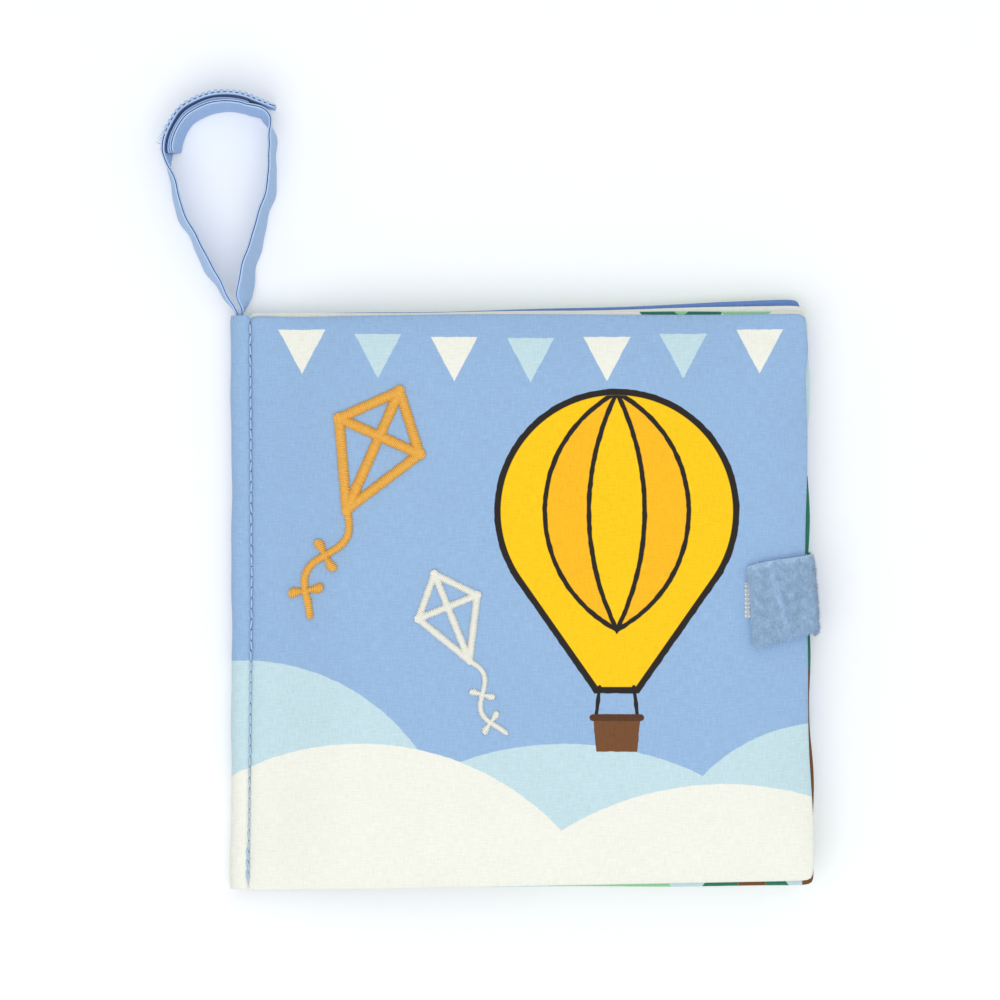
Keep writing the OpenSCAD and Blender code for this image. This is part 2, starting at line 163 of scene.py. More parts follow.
def at_shares(rows, shares):
    """Rows at shares of the way from the first row to the last."""
    return read_off(rows, np.arange(len(rows)), np.asarray(shares) * (len(rows) - 1))


def evenly(points, count):
    """As many points at equal distances along a line, and the line's length."""
    walked = walked_along(points)
    return read_off(points, walked, np.linspace(0, walked[-1], count)), walked[-1]


def block(name, cuts_x, cuts_y, heights=(0.5,)):
    """Block of one unit: a net of lines on its two faces, and lines round its side."""
    deselect()
    bpy.ops.mesh.primitive_grid_add(x_subdivisions=cuts_x, y_subdivisions=cuts_y, size=1)
    piece = named(name)
    bpy.ops.object.mode_set(mode="EDIT")
    bpy.ops.mesh.select_all(action="SELECT")
    bpy.ops.mesh.extrude_region_move(TRANSFORM_OT_translate={"value": (0, 0, 1)})
    for height in heights:
        bpy.ops.mesh.select_all(action="SELECT")
        bpy.ops.mesh.bisect(plane_co=(0, 0, height), plane_no=(0, 0, 1))
    bpy.ops.mesh.select_all(action="SELECT")
    bpy.ops.mesh.normals_make_consistent(inside=False)
    bpy.ops.object.mode_set(mode="OBJECT")
    points = places(piece)
    return piece, points[:, 0] + 0.5, points[:, 1] + 0.5, points[:, 2]


def at_start(share):
    return share < RIM_SHARE


def at_finish(share):
    return share > 1 - RIM_SHARE


def on_rim(share):
    return at_start(share) | at_finish(share)


def paint_faces(piece, finishes, pick):
    """Gives each face one of the finishes; pick works out which from a vertex list."""
    for finish in finishes:
        piece.data.materials.append(finish)
    for polygon in piece.data.polygons:
        polygon.material_index = pick(list(polygon.vertices))


def keep_pattern(piece, along, across):
    """Gives every corner of the mesh its place on the flat cloth, in metres."""
    layer = piece.data.uv_layers.new(name="pattern")
    corners = np.empty(len(piece.data.loops), int)
    piece.data.loops.foreach_get("vertex_index", corners)
    flat = np.column_stack([along, across])[corners] * MM
    layer.data.foreach_set("uv", flat.reshape(-1))


def copies(name, model, frames, finish):
    """One mesh of many copies of a small model, which is then removed.
    Each frame is a place and three axes, in millimetres."""
    base = places(model)
    polygons = [list(polygon.vertices) for polygon in model.data.polygons]
    points, faces = [], []
    for count, (place, axes) in enumerate(frames):
        start = count * len(base)
        points.append(base @ np.array(axes) + place)
        faces.extend([[start + corner for corner in polygon] for polygon in polygons])
    mesh = bpy.data.meshes.new(name)
    mesh.from_pydata((np.concatenate(points) * MM).tolist(), [], faces)
    mesh.update()
    piece = bpy.data.objects.new(name, mesh)
    bpy.context.scene.collection.objects.link(piece)
    bpy.data.objects.remove(model)
    take(piece)
    bpy.ops.object.shade_smooth()
    mesh.materials.append(finish)
    return piece


THREAD_SEGMENTS = 6
THREAD_RINGS = 7
TIP_FLOOR = 0.02
TIP_FULLNESS = 0.25


def thread_model(arch):
    """Blunt thread along X from -1 to 1, of radius 1, arched upwards by arch radii."""
    deselect()
    bpy.ops.mesh.primitive_uv_sphere_add(segments=THREAD_SEGMENTS, ring_count=THREAD_RINGS, radius=1)
    model = named("thread_model")
    points = places(model)[:, [2, 0, 1]]
    bow = 1 - points[:, 0] ** 2
    points[:, 1:] *= (np.maximum(bow, TIP_FLOOR) ** -TIP_FULLNESS)[:, None]
    points[:, 2] += arch * bow
    put(model, points)
    return model


# Heights of the padded layers, as the solids have them

def rise(x):
    return ease((x - SEAM_X) / SPINE_RISE)


def swell(distance):
    return np.sin(np.pi / 2 * np.clip(distance / EDGE_ROUND, 0, 1))


def fullness(x, y):
    return swell(FORE_X - x) * swell(HEAD_Y - y) * swell(y - TAIL_Y)


def seam_mid(k):
    return (k + 0.5) * PRESSED_T + (LAYER_GAP if k == TOP_LAYER else 0)


def full_mid(k):
    if k == 0:
        return COVER_T / 2
    if k < TOP_LAYER:
        return COVER_T + LAYER_GAP + (k - 0.5) * LEAF_T
    return COVER_T * 1.5 + 2 * LAYER_GAP + LEAVES * LEAF_T


def full_half(k):
    return (COVER_T if k in (0, TOP_LAYER) else LEAF_T) / 2


def mid_z(k, x, y):
    sunk = EDGE_DROOP * k * rise(x) * (1 - fullness(x, y))
    return blend_to(seam_mid(k), full_mid(k), rise(x)) - sunk


def half_z(k, x, y):
    full = blend_to(SEAM_HALF, full_half(k), rise(x))
    return blend_to(EDGE_HALF, full, fullness(x, y))


# Shader maths as expressions

class Value:
    """A socket that takes part in sums, so that a pattern reads as an expression."""

    def __init__(self, finish, socket):
        self.finish = finish
        self.socket = socket

    def maths(self, operation, *others):
        return self.finish.node("ShaderNodeMath", {"operation": operation}, self, *others)

    def __add__(self, other):
        return self.maths("ADD", other)

    __radd__ = __add__

    def __mul__(self, other):
        return self.maths("MULTIPLY", other)

    __rmul__ = __mul__

    def __sub__(self, other):
        return self.maths("SUBTRACT", other)

    def __rsub__(self, other):
        return self.finish.node("ShaderNodeMath", {"operation": "SUBTRACT"}, other, self)

    def __neg__(self):
        return self * -1

    def __abs__(self):
        return self.maths("ABSOLUTE")

    def __pow__(self, power):
        return self.maths("POWER", power)

    def sine(self):
        return self.maths("SINE")

    def least(self, other):
        return self.maths("MINIMUM", other)

    def most(self, other):
        return self.maths("MAXIMUM", other)


class Finish:
    """A material whose nodes are added by one method."""

    def __init__(self, name):
        self.material = bpy.data.materials.new(name)
        self.material.use_nodes = True
        self.tree = self.material.node_tree
        self.shader = self.tree.nodes["Principled BSDF"]

    def node(self, kind, settings, *inputs, out=0, **by_name):
        """Adds a node with its settings, then the values or links of its sockets."""
        made = self.tree.nodes.new(kind)
        for key, setting in settings.items():
            setattr(made, key, setting)
        for key, given in list(enumerate(inputs)) + list(by_name.items()):
            self.feed(made.inputs[key.replace("_", " ") if isinstance(key, str) else key], given)
        return Value(self, made.outputs[out])

    def feed(self, socket, given):
        if isinstance(given, Value):
            self.tree.links.new(given.socket, socket)
        else:
            socket.default_value = given

    def split(self, vector, count):
        parts = self.node("ShaderNodeSeparateXYZ", {}, vector)
        outputs = parts.socket.node.outputs
        return [Value(self, outputs[i]) * PER_METRE for i in range(count)]

    def place(self):
        """Place in the row frame in millimetres, as three values."""
        return self.split(self.node("ShaderNodeTexCoord", {}, out="Object"), 3)

    def flat_place(self):
        """Place on the flat cloth in millimetres, as two values."""
        return self.split(self.node("ShaderNodeUVMap", {"uv_map": "pattern"}), 2)

    def at(self, x, y, z=0.0):
        return self.node("ShaderNodeCombineXYZ", {}, x, y, z)

    def noise(self, vector, scale, detail=2.0):
        return self.node("ShaderNodeTexNoise", {}, Vector=vector, Scale=scale, Detail=detail)

    def step(self, value, low, high, start=0.0, end=1.0):
        """Smooth step from start to end, as the value goes from low to high."""
        return self.node(
            "ShaderNodeMapRange", {"interpolation_type": "SMOOTHSTEP"}, value, low, high, start, end
        )

    def mix(self, share, first, second):
        """Colour between two colours."""
        made = self.tree.nodes.new("ShaderNodeMix")
        made.data_type = "RGBA"
        for key, given in ((0, share), (6, first), (7, second)):
            self.feed(made.inputs[key], given)
        return Value(self, made.outputs[2])

    def shade(self, colour, factor):
        """The colour made lighter or darker by a factor."""
        grey = self.at(factor, factor, factor)
        return self.node("ShaderNodeVectorMath", {"operation": "MULTIPLY"}, colour, grey)

    def bump(self, height, strength):
        """Relief of a height in millimetres."""
        normal = self.node("ShaderNodeBump", {}, Height=height, Distance=MM, Strength=strength)
        self.feed(self.shader.inputs["Normal"], normal)

    def set(self, **sockets):
        for key, given in sockets.items():
            self.feed(self.shader.inputs[key.replace("_", " ")], given)


def seen(red, green, blue):
    """Colour as seen, from 0 to 255, turned into linear light."""
    def linear(level):
        share = level / 255
        return share / 12.92 if share <= 0.04045 else ((share + 0.055) / 1.055) ** 2.4
    return (linear(red), linear(green), linear(blue), 1.0)


SKY = seen(154, 186, 222)
AQUA = seen(199, 224, 230)
CREAM = seen(244, 243, 231)
YELLOW = seen(255, 205, 20)
DEEP_YELLOW = seen(255, 190, 30)
DARK = seen(42, 36, 32)
BROWN = seen(120, 78, 47)
DARK_BROWN = seen(92, 58, 36)
LEAF_GREEN = seen(45, 120, 95)
LIGHT_GREEN = seen(150, 212, 160)
PAGE_BLUE = seen(108, 144, 202)
STRAP_BLUE = seen(170, 200, 238)
# Painted highlight: a lighter blue for the strap's rounded folded edges.
LIP_HIGHLIGHT_BLUE = seen(190, 214, 243)
# Painted shade: a deeper blue for the groove of the strap's folded edges.
FOLD_SHADE_BLUE = seen(50, 92, 172)
TAB_BLUE = seen(166, 196, 224)
THREAD_BLUE = seen(176, 199, 224)
BORDER_BLUE = seen(172, 200, 236)
FRAY_BLUE = seen(206, 224, 240)
# Painted shade: the hook tape is coloured dark for the shadowed gap between the strap's ends.
HOOK_SHADE_BLUE = seen(30, 52, 104)
LOOP_BLUE = seen(150, 180, 222)
# Painted shade: grey for the hook patch's base, standing in for the shade between the hooks.
BASE_SHADE_GREY = seen(196, 203, 206)
HOOK_WHITE = seen(236, 238, 236)
GOLD = seen(240, 178, 66)
CREAM_THREAD = seen(240, 238, 226)
PAPER_WHITE = seen(238, 239, 241)


# Flat shapes as signed distances in millimetres, which are below 0 inside

INK_SOFT = 0.12
INK_SCALE = 0.35
INK_WANDER = 0.5


def distance(x, y, cx, cy):
    dx, dy = x - cx, y - cy
    return (dx * dx + dy * dy) ** 0.5


def disc(x, y, cx, cy, r):
    return distance(x, y, cx, cy) - r


def wedge(x, y, corners):
    """Convex outline, its corners given clockwise."""
    result = None
    for i, (ax, ay) in enumerate(corners):
        bx, by = corners[(i + 1) % len(corners)]
        length = math.hypot(bx - ax, by - ay)
        nx, ny = -(by - ay) / length, (bx - ax) / length
        side = x * nx + y * ny - (ax * nx + ay * ny)
        result = side if result is None else result.most(side)
    return result


def line(x, y, a, b, width):
    """Straight stroke with round ends."""
    ux, uy = b[0] - a[0], b[1] - a[1]
    square = ux * ux + uy * uy
    along = ((x - a[0]) * (ux / square) + (y - a[1]) * (uy / square)).most(0).least(1)
    return distance(x - along * ux, y - along * uy, a[0], a[1]) - width / 2


def any_of(shapes):
    result = shapes[0]
    for shape in shapes[1:]:
        result = result.least(shape)
    return result


def inside(finish, shape):
    return finish.step(shape, -INK_SOFT, INK_SOFT, 1.0, 0.0)


def ink_wander(finish, x, y):
    """How far the edge of the ink wanders, as it does on woven cloth."""
    return (finish.noise(finish.at(x, y), INK_SCALE, 1.0) - 0.5) * INK_WANDER


# The print on the cover, in the solids' own sizes

BALLOON_X = 28.0
BALLOON_Y = TAIL_Y + 110
BALLOON_R = 34.0
BALLOON_SLOPE = math.radians(35)
MOUTH_W = 5.5
OUTLINE_W = 1.9
BASKET_W = 14.0
BASKET_H = 11.0
ROPE_L = 8.0
MOUTH_RUN = (BALLOON_R * math.cos(BALLOON_SLOPE) - MOUTH_W) / math.sin(BALLOON_SLOPE)
MOUTH_Y = BALLOON_Y - BALLOON_R * math.sin(BALLOON_SLOPE) - MOUTH_RUN * math.cos(BALLOON_SLOPE)
BASKET_Y = MOUTH_Y - ROPE_L - BASKET_H
NEAR_HILLS = [(-0.275, -0.226, 0.47), (0.35, -0.357, 0.53)]
FAR_HILLS = [(-0.475, 0.024, 0.365), (0.075, -0.298, 0.541), (0.525, -0.012, 0.294)]
PENNANTS = 7
PENNANT_INSET = 4.0
PENNANT_L = 13.0
PENNANT_HALF = 0.53
PENNANT_SAG = 0.25
GORE_TALL = 1.02
OUTER_GORE = 0.62
INNER_GORE = 0.24
GORE_LINE_HALF = 0.7
ROPE_W = 1.1
ROPE_IN = 0.5
BASKET_TAPER = 1
RIM_W = 2


def hills(x, y, rounds):
    return any_of([
        disc(x, y, COVER_W * across, TAIL_Y + COVER_L * up, COVER_W * r) for across, up, r in rounds
    ])


def balloon(x, y):
    shoulder = BALLOON_R * math.cos(BALLOON_SLOPE)
    shoulder_y = BALLOON_Y - BALLOON_R * math.sin(BALLOON_SLOPE)
    throat = wedge(x, y, [
        (BALLOON_X - shoulder, shoulder_y), (BALLOON_X + shoulder, shoulder_y),
        (BALLOON_X + MOUTH_W, MOUTH_Y), (BALLOON_X - MOUTH_W, MOUTH_Y)
    ])
    return disc(x, y, BALLOON_X, BALLOON_Y, BALLOON_R).least(throat)


def gore(x, y, half_width):
    """Lens that two equal circles share, as tall as the balloon."""
    tall = BALLOON_R * GORE_TALL
    r = (tall * tall + half_width * half_width) / (2 * half_width)
    right = disc(x, y, BALLOON_X + r - half_width, BALLOON_Y, r)
    return right.most(disc(x, y, BALLOON_X + half_width - r, BALLOON_Y, r))


def land(finish, x, y, wobble):
    colour = finish.mix(inside(finish, hills(x, y, FAR_HILLS) + wobble), SKY, AQUA)
    return finish.mix(inside(finish, hills(x, y, NEAR_HILLS) + wobble), colour, CREAM)


def pennants(finish, x, y, colour, wobble):
    pitch = (FORE_X - SEAM_X - 2 * PENNANT_INSET) / PENNANTS
    half = PENNANT_L * PENNANT_HALF
    for i in range(PENNANTS):
        sag = PENNANT_L * PENNANT_SAG * math.sin(math.pi * (i + 0.5) / PENNANTS)
        px = SEAM_X + PENNANT_INSET + pitch * (i + 0.5)
        py = HEAD_Y - PENNANT_INSET - sag
        flag = wedge(x, y, [(px - half, py), (px + half, py), (px, py - PENNANT_L)])
        colour = finish.mix(inside(finish, flag + wobble), colour, AQUA if i % 2 else CREAM)
    return colour


def basket(finish, x, y, colour, wobble):
    """The basket with its rim, on two ropes."""
    half = BASKET_W / 2
    foot = half - BASKET_TAPER
    top = BASKET_Y + BASKET_H
    for side in (-1, 1):
        mouth = (BALLOON_X + side * (MOUTH_W - ROPE_IN), MOUTH_Y)
        rope = line(x, y, mouth, (BALLOON_X + side * foot, top), ROPE_W)
        colour = finish.mix(inside(finish, rope + wobble), colour, DARK)
    wicker = wedge(x, y, [
        (BALLOON_X - half, top), (BALLOON_X + half, top),
        (BALLOON_X + foot, BASKET_Y), (BALLOON_X - foot, BASKET_Y)
    ])
    colour = finish.mix(inside(finish, wicker + wobble), colour, BROWN)
    rim_y = top - RIM_W / 2
    rim = line(x, y, (BALLOON_X - half, rim_y), (BALLOON_X + half, rim_y), RIM_W)
    return finish.mix(inside(finish, rim), colour, DARK_BROWN)


def cover_print(finish, x, y):
    """Hills and sky, a row of pennants, and a balloon with its basket."""
    wobble = ink_wander(finish, x, y)
    colour = land(finish, x, y, wobble)
    colour = pennants(finish, x, y, colour, wobble)
    bag = balloon(x, y)
    in_bag = inside(finish, bag)
    outer, inner = gore(x, y, BALLOON_R * OUTER_GORE), gore(x, y, BALLOON_R * INNER_GORE)
    colour = finish.mix(inside(finish, bag - OUTLINE_W + wobble), colour, DARK)
    colour = finish.mix(in_bag, colour, YELLOW)
    colour = finish.mix(inside(finish, outer.most(-inner)) * in_bag, colour, DEEP_YELLOW)
    for seam in (outer, inner):
        drawn = inside(finish, abs(seam) - GORE_LINE_HALF + wobble) * in_bag
        colour = finish.mix(drawn, colour, DARK)
    return basket(finish, x, y, colour, wobble)


def back_print(finish, x, y):
    return land(finish, x, y, ink_wander(finish, x, y))


# The inside pages: discs are given by middle and radius, trunks by ends and width

CREAM_BAND = (0, HEAD_Y + 390, 400)
TREE_MOUND = (26, TAIL_Y - 16, 24)
TRUNKS = [((67.6, TAIL_Y - 6), (69, TAIL_Y + 40), 8), ((89, TAIL_Y - 2), (90, 0), 13)]
BUSH = (66, TAIL_Y - 8, 15)
CROWNS = [(69, TAIL_Y + 50, 15), (94, 8, 30), (47, HEAD_Y + 10, 15.5)]
SPRIGS = [(66, HEAD_Y + 8, 10.5), (47, HEAD_Y + 2, 2.4)]
PAGE_HILL = (-30, TAIL_Y - 60, 110)
PAGE_MOUND = (60, TAIL_Y - 40, 70)


def tree_page(finish, x, y):
    """Inside page with trees at its fore edge, leaves at its head and a mound at its tail."""
    colour = finish.mix(inside(finish, disc(x, y, *CREAM_BAND)), AQUA, CREAM)
    colour = finish.mix(inside(finish, disc(x, y, *TREE_MOUND)), colour, LIGHT_GREEN)
    trunks = any_of([line(x, y, *trunk) for trunk in TRUNKS])
    bush = disc(x, y, *BUSH).most(-trunks)
    greens = any_of([bush] + [disc(x, y, *crown) for crown in CROWNS])
    lights = any_of([disc(x, y, *sprig) for sprig in SPRIGS])
    colour = finish.mix(inside(finish, trunks), colour, BROWN)
    colour = finish.mix(inside(finish, greens), colour, LEAF_GREEN)
    return finish.mix(inside(finish, lights), colour, LIGHT_GREEN)


def hill_page(ground, hill, mound):
    """Inside page with one hill, and a mound before it."""
    def paint(finish, x, y):
        colour = finish.mix(inside(finish, disc(x, y, *PAGE_HILL)), ground, hill)
        return finish.mix(inside(finish, disc(x, y, *PAGE_MOUND)), colour, mound)
    return paint


def plain(colour):
    return lambda finish, x, y: finish.mix(0.0, colour, colour)


# Cloths and threads

WEAVE_PITCH = 0.46
CROSSING = 0.2
THREAD_MEAN = 0.6
THREAD_TONE = 0.05
SLUB_LONG = 0.32
SLUB_FINE = 2.6
SLUB_SHIFT = 40
SLUB_TONE = 0.27
TONE_ON_BLACK = 1.5
CLOUD_SCALE = 0.05
CLOUD_TONE = 0.05
CREASE_SCALE = 0.16
THREAD_RELIEF = 0.03
SLUB_RELIEF = 0.12
COTTON_BUMP = 0.8


def cotton(name, paint, flat=False, creases=0.25):
    """Plain-weave cotton: its threads and slubs show in colour and in relief."""
    finish = Finish(name)
    x, y = finish.flat_place() if flat else finish.place()[:2]
    warp = (x * (math.pi / WEAVE_PITCH)).sine()
    weft = (y * (math.pi / WEAVE_PITCH)).sine()
    over = finish.step(warp * weft, -CROSSING, CROSSING)
    threads = over * abs(warp) + (1 - over) * abs(weft)
    across = finish.noise(finish.at(x * SLUB_LONG, y * SLUB_FINE), 1.0)
    along = finish.noise(finish.at(x * SLUB_FINE + SLUB_SHIFT, y * SLUB_LONG), 1.0)
    slubs = across + along - 1.0
    cloudy = finish.noise(finish.at(x, y), CLOUD_SCALE, 3.0) - 0.5
    colour = paint(finish, x, y)
    depth = TONE_ON_BLACK - finish.node("ShaderNodeRGBToBW", {}, colour)
    uneven = slubs * SLUB_TONE + (threads - THREAD_MEAN) * THREAD_TONE
    finish.set(
        Base_Color=finish.shade(colour, 1.0 + uneven * depth + cloudy * CLOUD_TONE),
        Roughness=0.86,
        Specular_IOR_Level=0.25,
        Sheen_Weight=0.12,
        Sheen_Roughness=0.5
    )
    folds = finish.noise(finish.at(x, y), CREASE_SCALE, 3.0) * creases
    finish.bump(threads * THREAD_RELIEF + slubs * SLUB_RELIEF + folds, COTTON_BUMP)
    return finish.material


YARN_SCALE = 1.7
YARN_TONE = 0.4
CREAM_TONE = 0.12


def yarn(name, colour, tone_range=YARN_TONE):
    """Glossy sewing or embroidery thread."""
    finish = Finish(name)
    x, y, z = finish.place()
    uneven = finish.noise(finish.at(x, y, z), YARN_SCALE) - 0.5
    finish.set(
        Base_Color=finish.shade(plain(colour)(finish, x, y), 1.0 + uneven * tone_range),
        Roughness=0.42,
        Specular_IOR_Level=0.45,
        Sheen_Weight=0.3
    )
    return finish.material


def hooks_finish(name, colour):
    finish = Finish(name)
    finish.set(Base_Color=colour, Roughness=0.35, Specular_IOR_Level=0.5)
    return finish.material


PRESSED_X = 75.6
PRESSED_SLANT = 0.27
PRESSED_HALF = (0.4, 1.3)
PRESSED_SHEEN_TONE = 0.1
STREAK_SCALE = (2.4, 0.5)
GRAIN_SCALE = (2.0, 0.8, 2.0)
PLUSH_TONE = 0.35


def plush(name, colour):
    """Short pile with streaks, and a lighter line painted as the sheen of nap that lies crushed flat
    along it.
    """
    finish = Finish(name)
    x, y, z = finish.place()
    streak_place = finish.at(x * STREAK_SCALE[0], y * STREAK_SCALE[1], z)
    grain_place = finish.at(x * GRAIN_SCALE[0], y * GRAIN_SCALE[1], z * GRAIN_SCALE[2])
    streaks = finish.noise(streak_place, 1.0, 3.0) - 0.5
    grain = finish.noise(grain_place, 2.0, 1.0) - 0.5
    # Painted sheen: a lighter band along the line where the nap lies flat.
    pressed_sheen = finish.step(abs(x + y * PRESSED_SLANT - PRESSED_X), *PRESSED_HALF, 1.0, 0.0)
    tone = 1.0 + streaks * PLUSH_TONE + grain * PLUSH_TONE + pressed_sheen * PRESSED_SHEEN_TONE
    finish.set(
        Base_Color=finish.shade(plain(colour)(finish, x, y), tone),
        Roughness=0.95,
        Specular_IOR_Level=0.15,
        Sheen_Weight=0.5,
        Sheen_Roughness=0.6
    )
    return finish.material


COVER_CLOTH = cotton("printed cover cotton", cover_print)
BACK_CLOTH = cotton("back cover cotton", back_print)
LINING_CLOTH = cotton("lining cotton", hill_page(AQUA, CREAM, LIGHT_GREEN))
PAGE_CLOTHS = [
    cotton("page cotton blue", hill_page(PAGE_BLUE, AQUA, CREAM)),
    cotton("page cotton cream", hill_page(CREAM, AQUA, LIGHT_GREEN)),
    cotton("page cotton trees", tree_page)
]
UNDER_CLOTHS = [
    cotton("page cotton green", hill_page(LIGHT_GREEN, LEAF_GREEN, AQUA)),
    cotton("page cotton sky", hill_page(SKY, CREAM, LIGHT_GREEN)),
    cotton("page cotton aqua", hill_page(AQUA, LEAF_GREEN, CREAM))
]
STRAP_CLOTH = cotton("strap cotton", plain(STRAP_BLUE), flat=True, creases=0.3)
# Painted highlight on the strap's folded edges.
LIP_HIGHLIGHT_CLOTH = cotton("strap cotton at its folded edges", plain(LIP_HIGHLIGHT_BLUE), flat=True, creases=0.0)
# Painted shade in the groove of the strap's fold.
FOLD_SHADE_CLOTH = cotton("strap cotton in the fold", plain(FOLD_SHADE_BLUE), flat=True, creases=0.0)
# The hook tape's dark colour paints the shade in the gap between the straps.
HOOK_TAPE = hooks_finish("hook tape", HOOK_SHADE_BLUE)
LOOP_TAPE = plush("loop tape", LOOP_BLUE)
TAB_PLUSH = plush("tab plush", TAB_BLUE)
# The base's grey paints the shade between the hooks.
PATCH_BASE_SHADED = hooks_finish("hook patch base", BASE_SHADE_GREY)
HOOK_PATCH = hooks_finish("hook patch", HOOK_WHITE)
SEAM_YARN = yarn("seam thread", THREAD_BLUE)
BORDER_YARN = yarn("border thread", BORDER_BLUE)
LOOSE_YARN = yarn("loose thread ends", FRAY_BLUE)
GOLD_YARN = yarn("gold embroidery thread", GOLD)
CREAM_YARN = yarn("cream embroidery thread", CREAM_THREAD, CREAM_TONE)


# Padded layers: sewn edge to edge, then blown up over their wadding

PAD_STEP = 3.0
PAD_CUTS = (0.3, 0.5, 0.7)
CUT_RISE = 0.42
RIM_ROLL = 0.5
RIM_ROLL_MIDDLE = 0.12
PAD_SINK = 0.25
SEAM_DIP = 0.55
SEAM_DIP_L = 1.8
SIM_SCALE = 10.0
SIM_FRAMES = 20
SIM_PRESSURE = 3.0
COVER_SLACK = 0.02
LEAF_SLACK = 0.012
COVER_CAP = 0.5
LEAF_CAP = 0.3
HALF_COVER = 84
SEAM_WANDER_Y = [-HALF_COVER, -64, -42, 0, HALF_COVER]
SEAM_WANDER = [-0.7, -0.4, -0.1, 0.3, -0.1]


def inflate(pad, rim, slack, cap):
    """Cloth simulation at ten times the size, with the sewn rim held.
    No point ends further than cap millimetres from where it was."""
    rest = places(pad)
    put(pad, rest * SIM_SCALE)
    held = pad.vertex_groups.new(name="rim")
    held.add([int(i) for i in np.nonzero(rim)[0]], 1.0, "REPLACE")
    cloth = pad.modifiers.new("Cloth", "CLOTH")
    cloth.settings.quality = 6
    cloth.settings.mass = 0.3
    cloth.settings.tension_stiffness = 18
    cloth.settings.compression_stiffness = 18
    cloth.settings.shear_stiffness = 8
    cloth.settings.bending_stiffness = 0.35
    cloth.settings.shrink_min = -slack
    cloth.settings.vertex_group_mass = "rim"
    cloth.settings.use_pressure = True
    cloth.settings.uniform_pressure_force = SIM_PRESSURE
    cloth.settings.effector_weights.gravity = 0
    cloth.collision_settings.use_collision = False
    for step in range(1, SIM_FRAMES + 1):
        bpy.context.scene.frame_set(step)
    blown = pad.evaluated_get(bpy.context.evaluated_depsgraph_get())
    shift = places(blown) / SIM_SCALE - rest
    pad.modifiers.remove(cloth)
    pad.vertex_groups.remove(held)
    bpy.context.scene.frame_set(1)
    size = np.maximum(np.linalg.norm(shift, axis=1, keepdims=True), 1e-9)
    put(pad, rest + shift / size * np.tanh(size / (cap * MM)) * (cap * MM))


def seam_line(y):
    """Where the stitch line runs: it wanders, and ends nearer the fold at the tail."""
    return SEAM_X + np.interp(y, SEAM_WANDER_Y, SEAM_WANDER)


def padded_layer(name, k, start_x, outline, cloths, slack, cap):
    """One padded layer: its edges follow outline, and its cloths are the upper and lower one."""
    cuts_x, cuts_y = int((FORE_X - start_x) / PAD_STEP), int(COVER_L / PAD_STEP)
    pad, u, v, w = block(name, cuts_x, cuts_y, PAD_CUTS)
    x, y = blend_to(start_x, FORE_X, u), blend_to(TAIL_Y, HEAD_Y, v)
    rim = on_rim(u) | on_rim(v)
    on_face = abs(w - 0.5) > FACE_ROW
    side = np.sign(w - 0.5) * np.where(on_face, 1.0, CUT_RISE)
    side[abs(w - 0.5) < MIDDLE_ROW] = 0
    z = mid_z(k, x, y) + side * (half_z(k, x, y) - PAD_SINK * fullness(x, y))
    z -= SEAM_DIP * np.exp(-(x - SEAM_X) / SEAM_DIP_L) * (k == TOP_LAYER)
    px, py = outline(x, y)
    turned = np.where(rim & (side == 0), RIM_ROLL_MIDDLE, 0.0)
    turned = np.where(rim & on_face, RIM_ROLL, turned)
    px = px + turned * at_start(u) * (k != TOP_LAYER) - turned * at_finish(u)
    py = py + turned * at_start(v) - turned * at_finish(v)
    put(pad, np.column_stack([px, py, z]) * MM)
    paint_faces(pad, cloths, lambda corners: int(w[corners].mean() < 0.5))
    inflate(pad, rim, slack, cap)
    refine(pad)
    return pad


# How far the sewn edges stray from straight ones, in millimetres

CORNER_REACH = 5.0
CORNER_SHORT = 0.3
SEAM_CLEAR = 0.06
FORE_SHORT = 1.3
FORE_TAIL_OUT = 2.0
FORE_WAVE = 0.3
FORE_WAVE_L = 9
EAR_OUT = 1.0
EAR_Y = 73
EAR_L = 4
HEAD_SHORT = 1.0
HEAD_SLOPE = 1.3
HEAD_WAVE = 0.35
HEAD_WAVE_X = -60
HEAD_WAVE_L = 26
SEAM_LIFT = 0.7
SEAM_LIFT_FADE = 18
TAIL_DROP = 1.6
TAIL_SLOPE = 3.2
BACK_SHORT = 0.4
BACK_BELLY = 0.8
BACK_BELLY_Y = -38
BACK_BELLY_L = 14
BACK_SHRINK = 0.995
BACK_TAIL_DROP = 0.3
LEAF_CORNER = 0.6
LEAF_LONGER = 0.3
END_RIPPLE = 0.25
END_RIPPLE_L = 9
FORE_RIPPLE = 0.45
FORE_RIPPLE_L = 6
FORE_RIPPLE_START = 1.93
RIPPLE_AT_ENDS = 0.5
TOP_LEAF_IN = 1.0
TOP_LEAF_TAIL_OUT = 1.6
TOP_LEAF_DROP = 0.6
UNDER_LEAF_IN = 0.2


def corner_round(x, y):
    """How far a turned-out corner falls short of the sharp one, from 0 to 1."""
    near_fore = np.clip((x - FORE_X + CORNER_REACH) / CORNER_REACH, 0, 1)
    near_end = np.clip((abs(y) - HEAD_Y + CORNER_REACH) / CORNER_REACH, 0, 1)
    return (near_fore * near_end) ** 2


def from_seam(x):
    """Share of the way from the stitch line to the fore edge."""
    return (x - SEAM_X) / (FORE_X - SEAM_X)


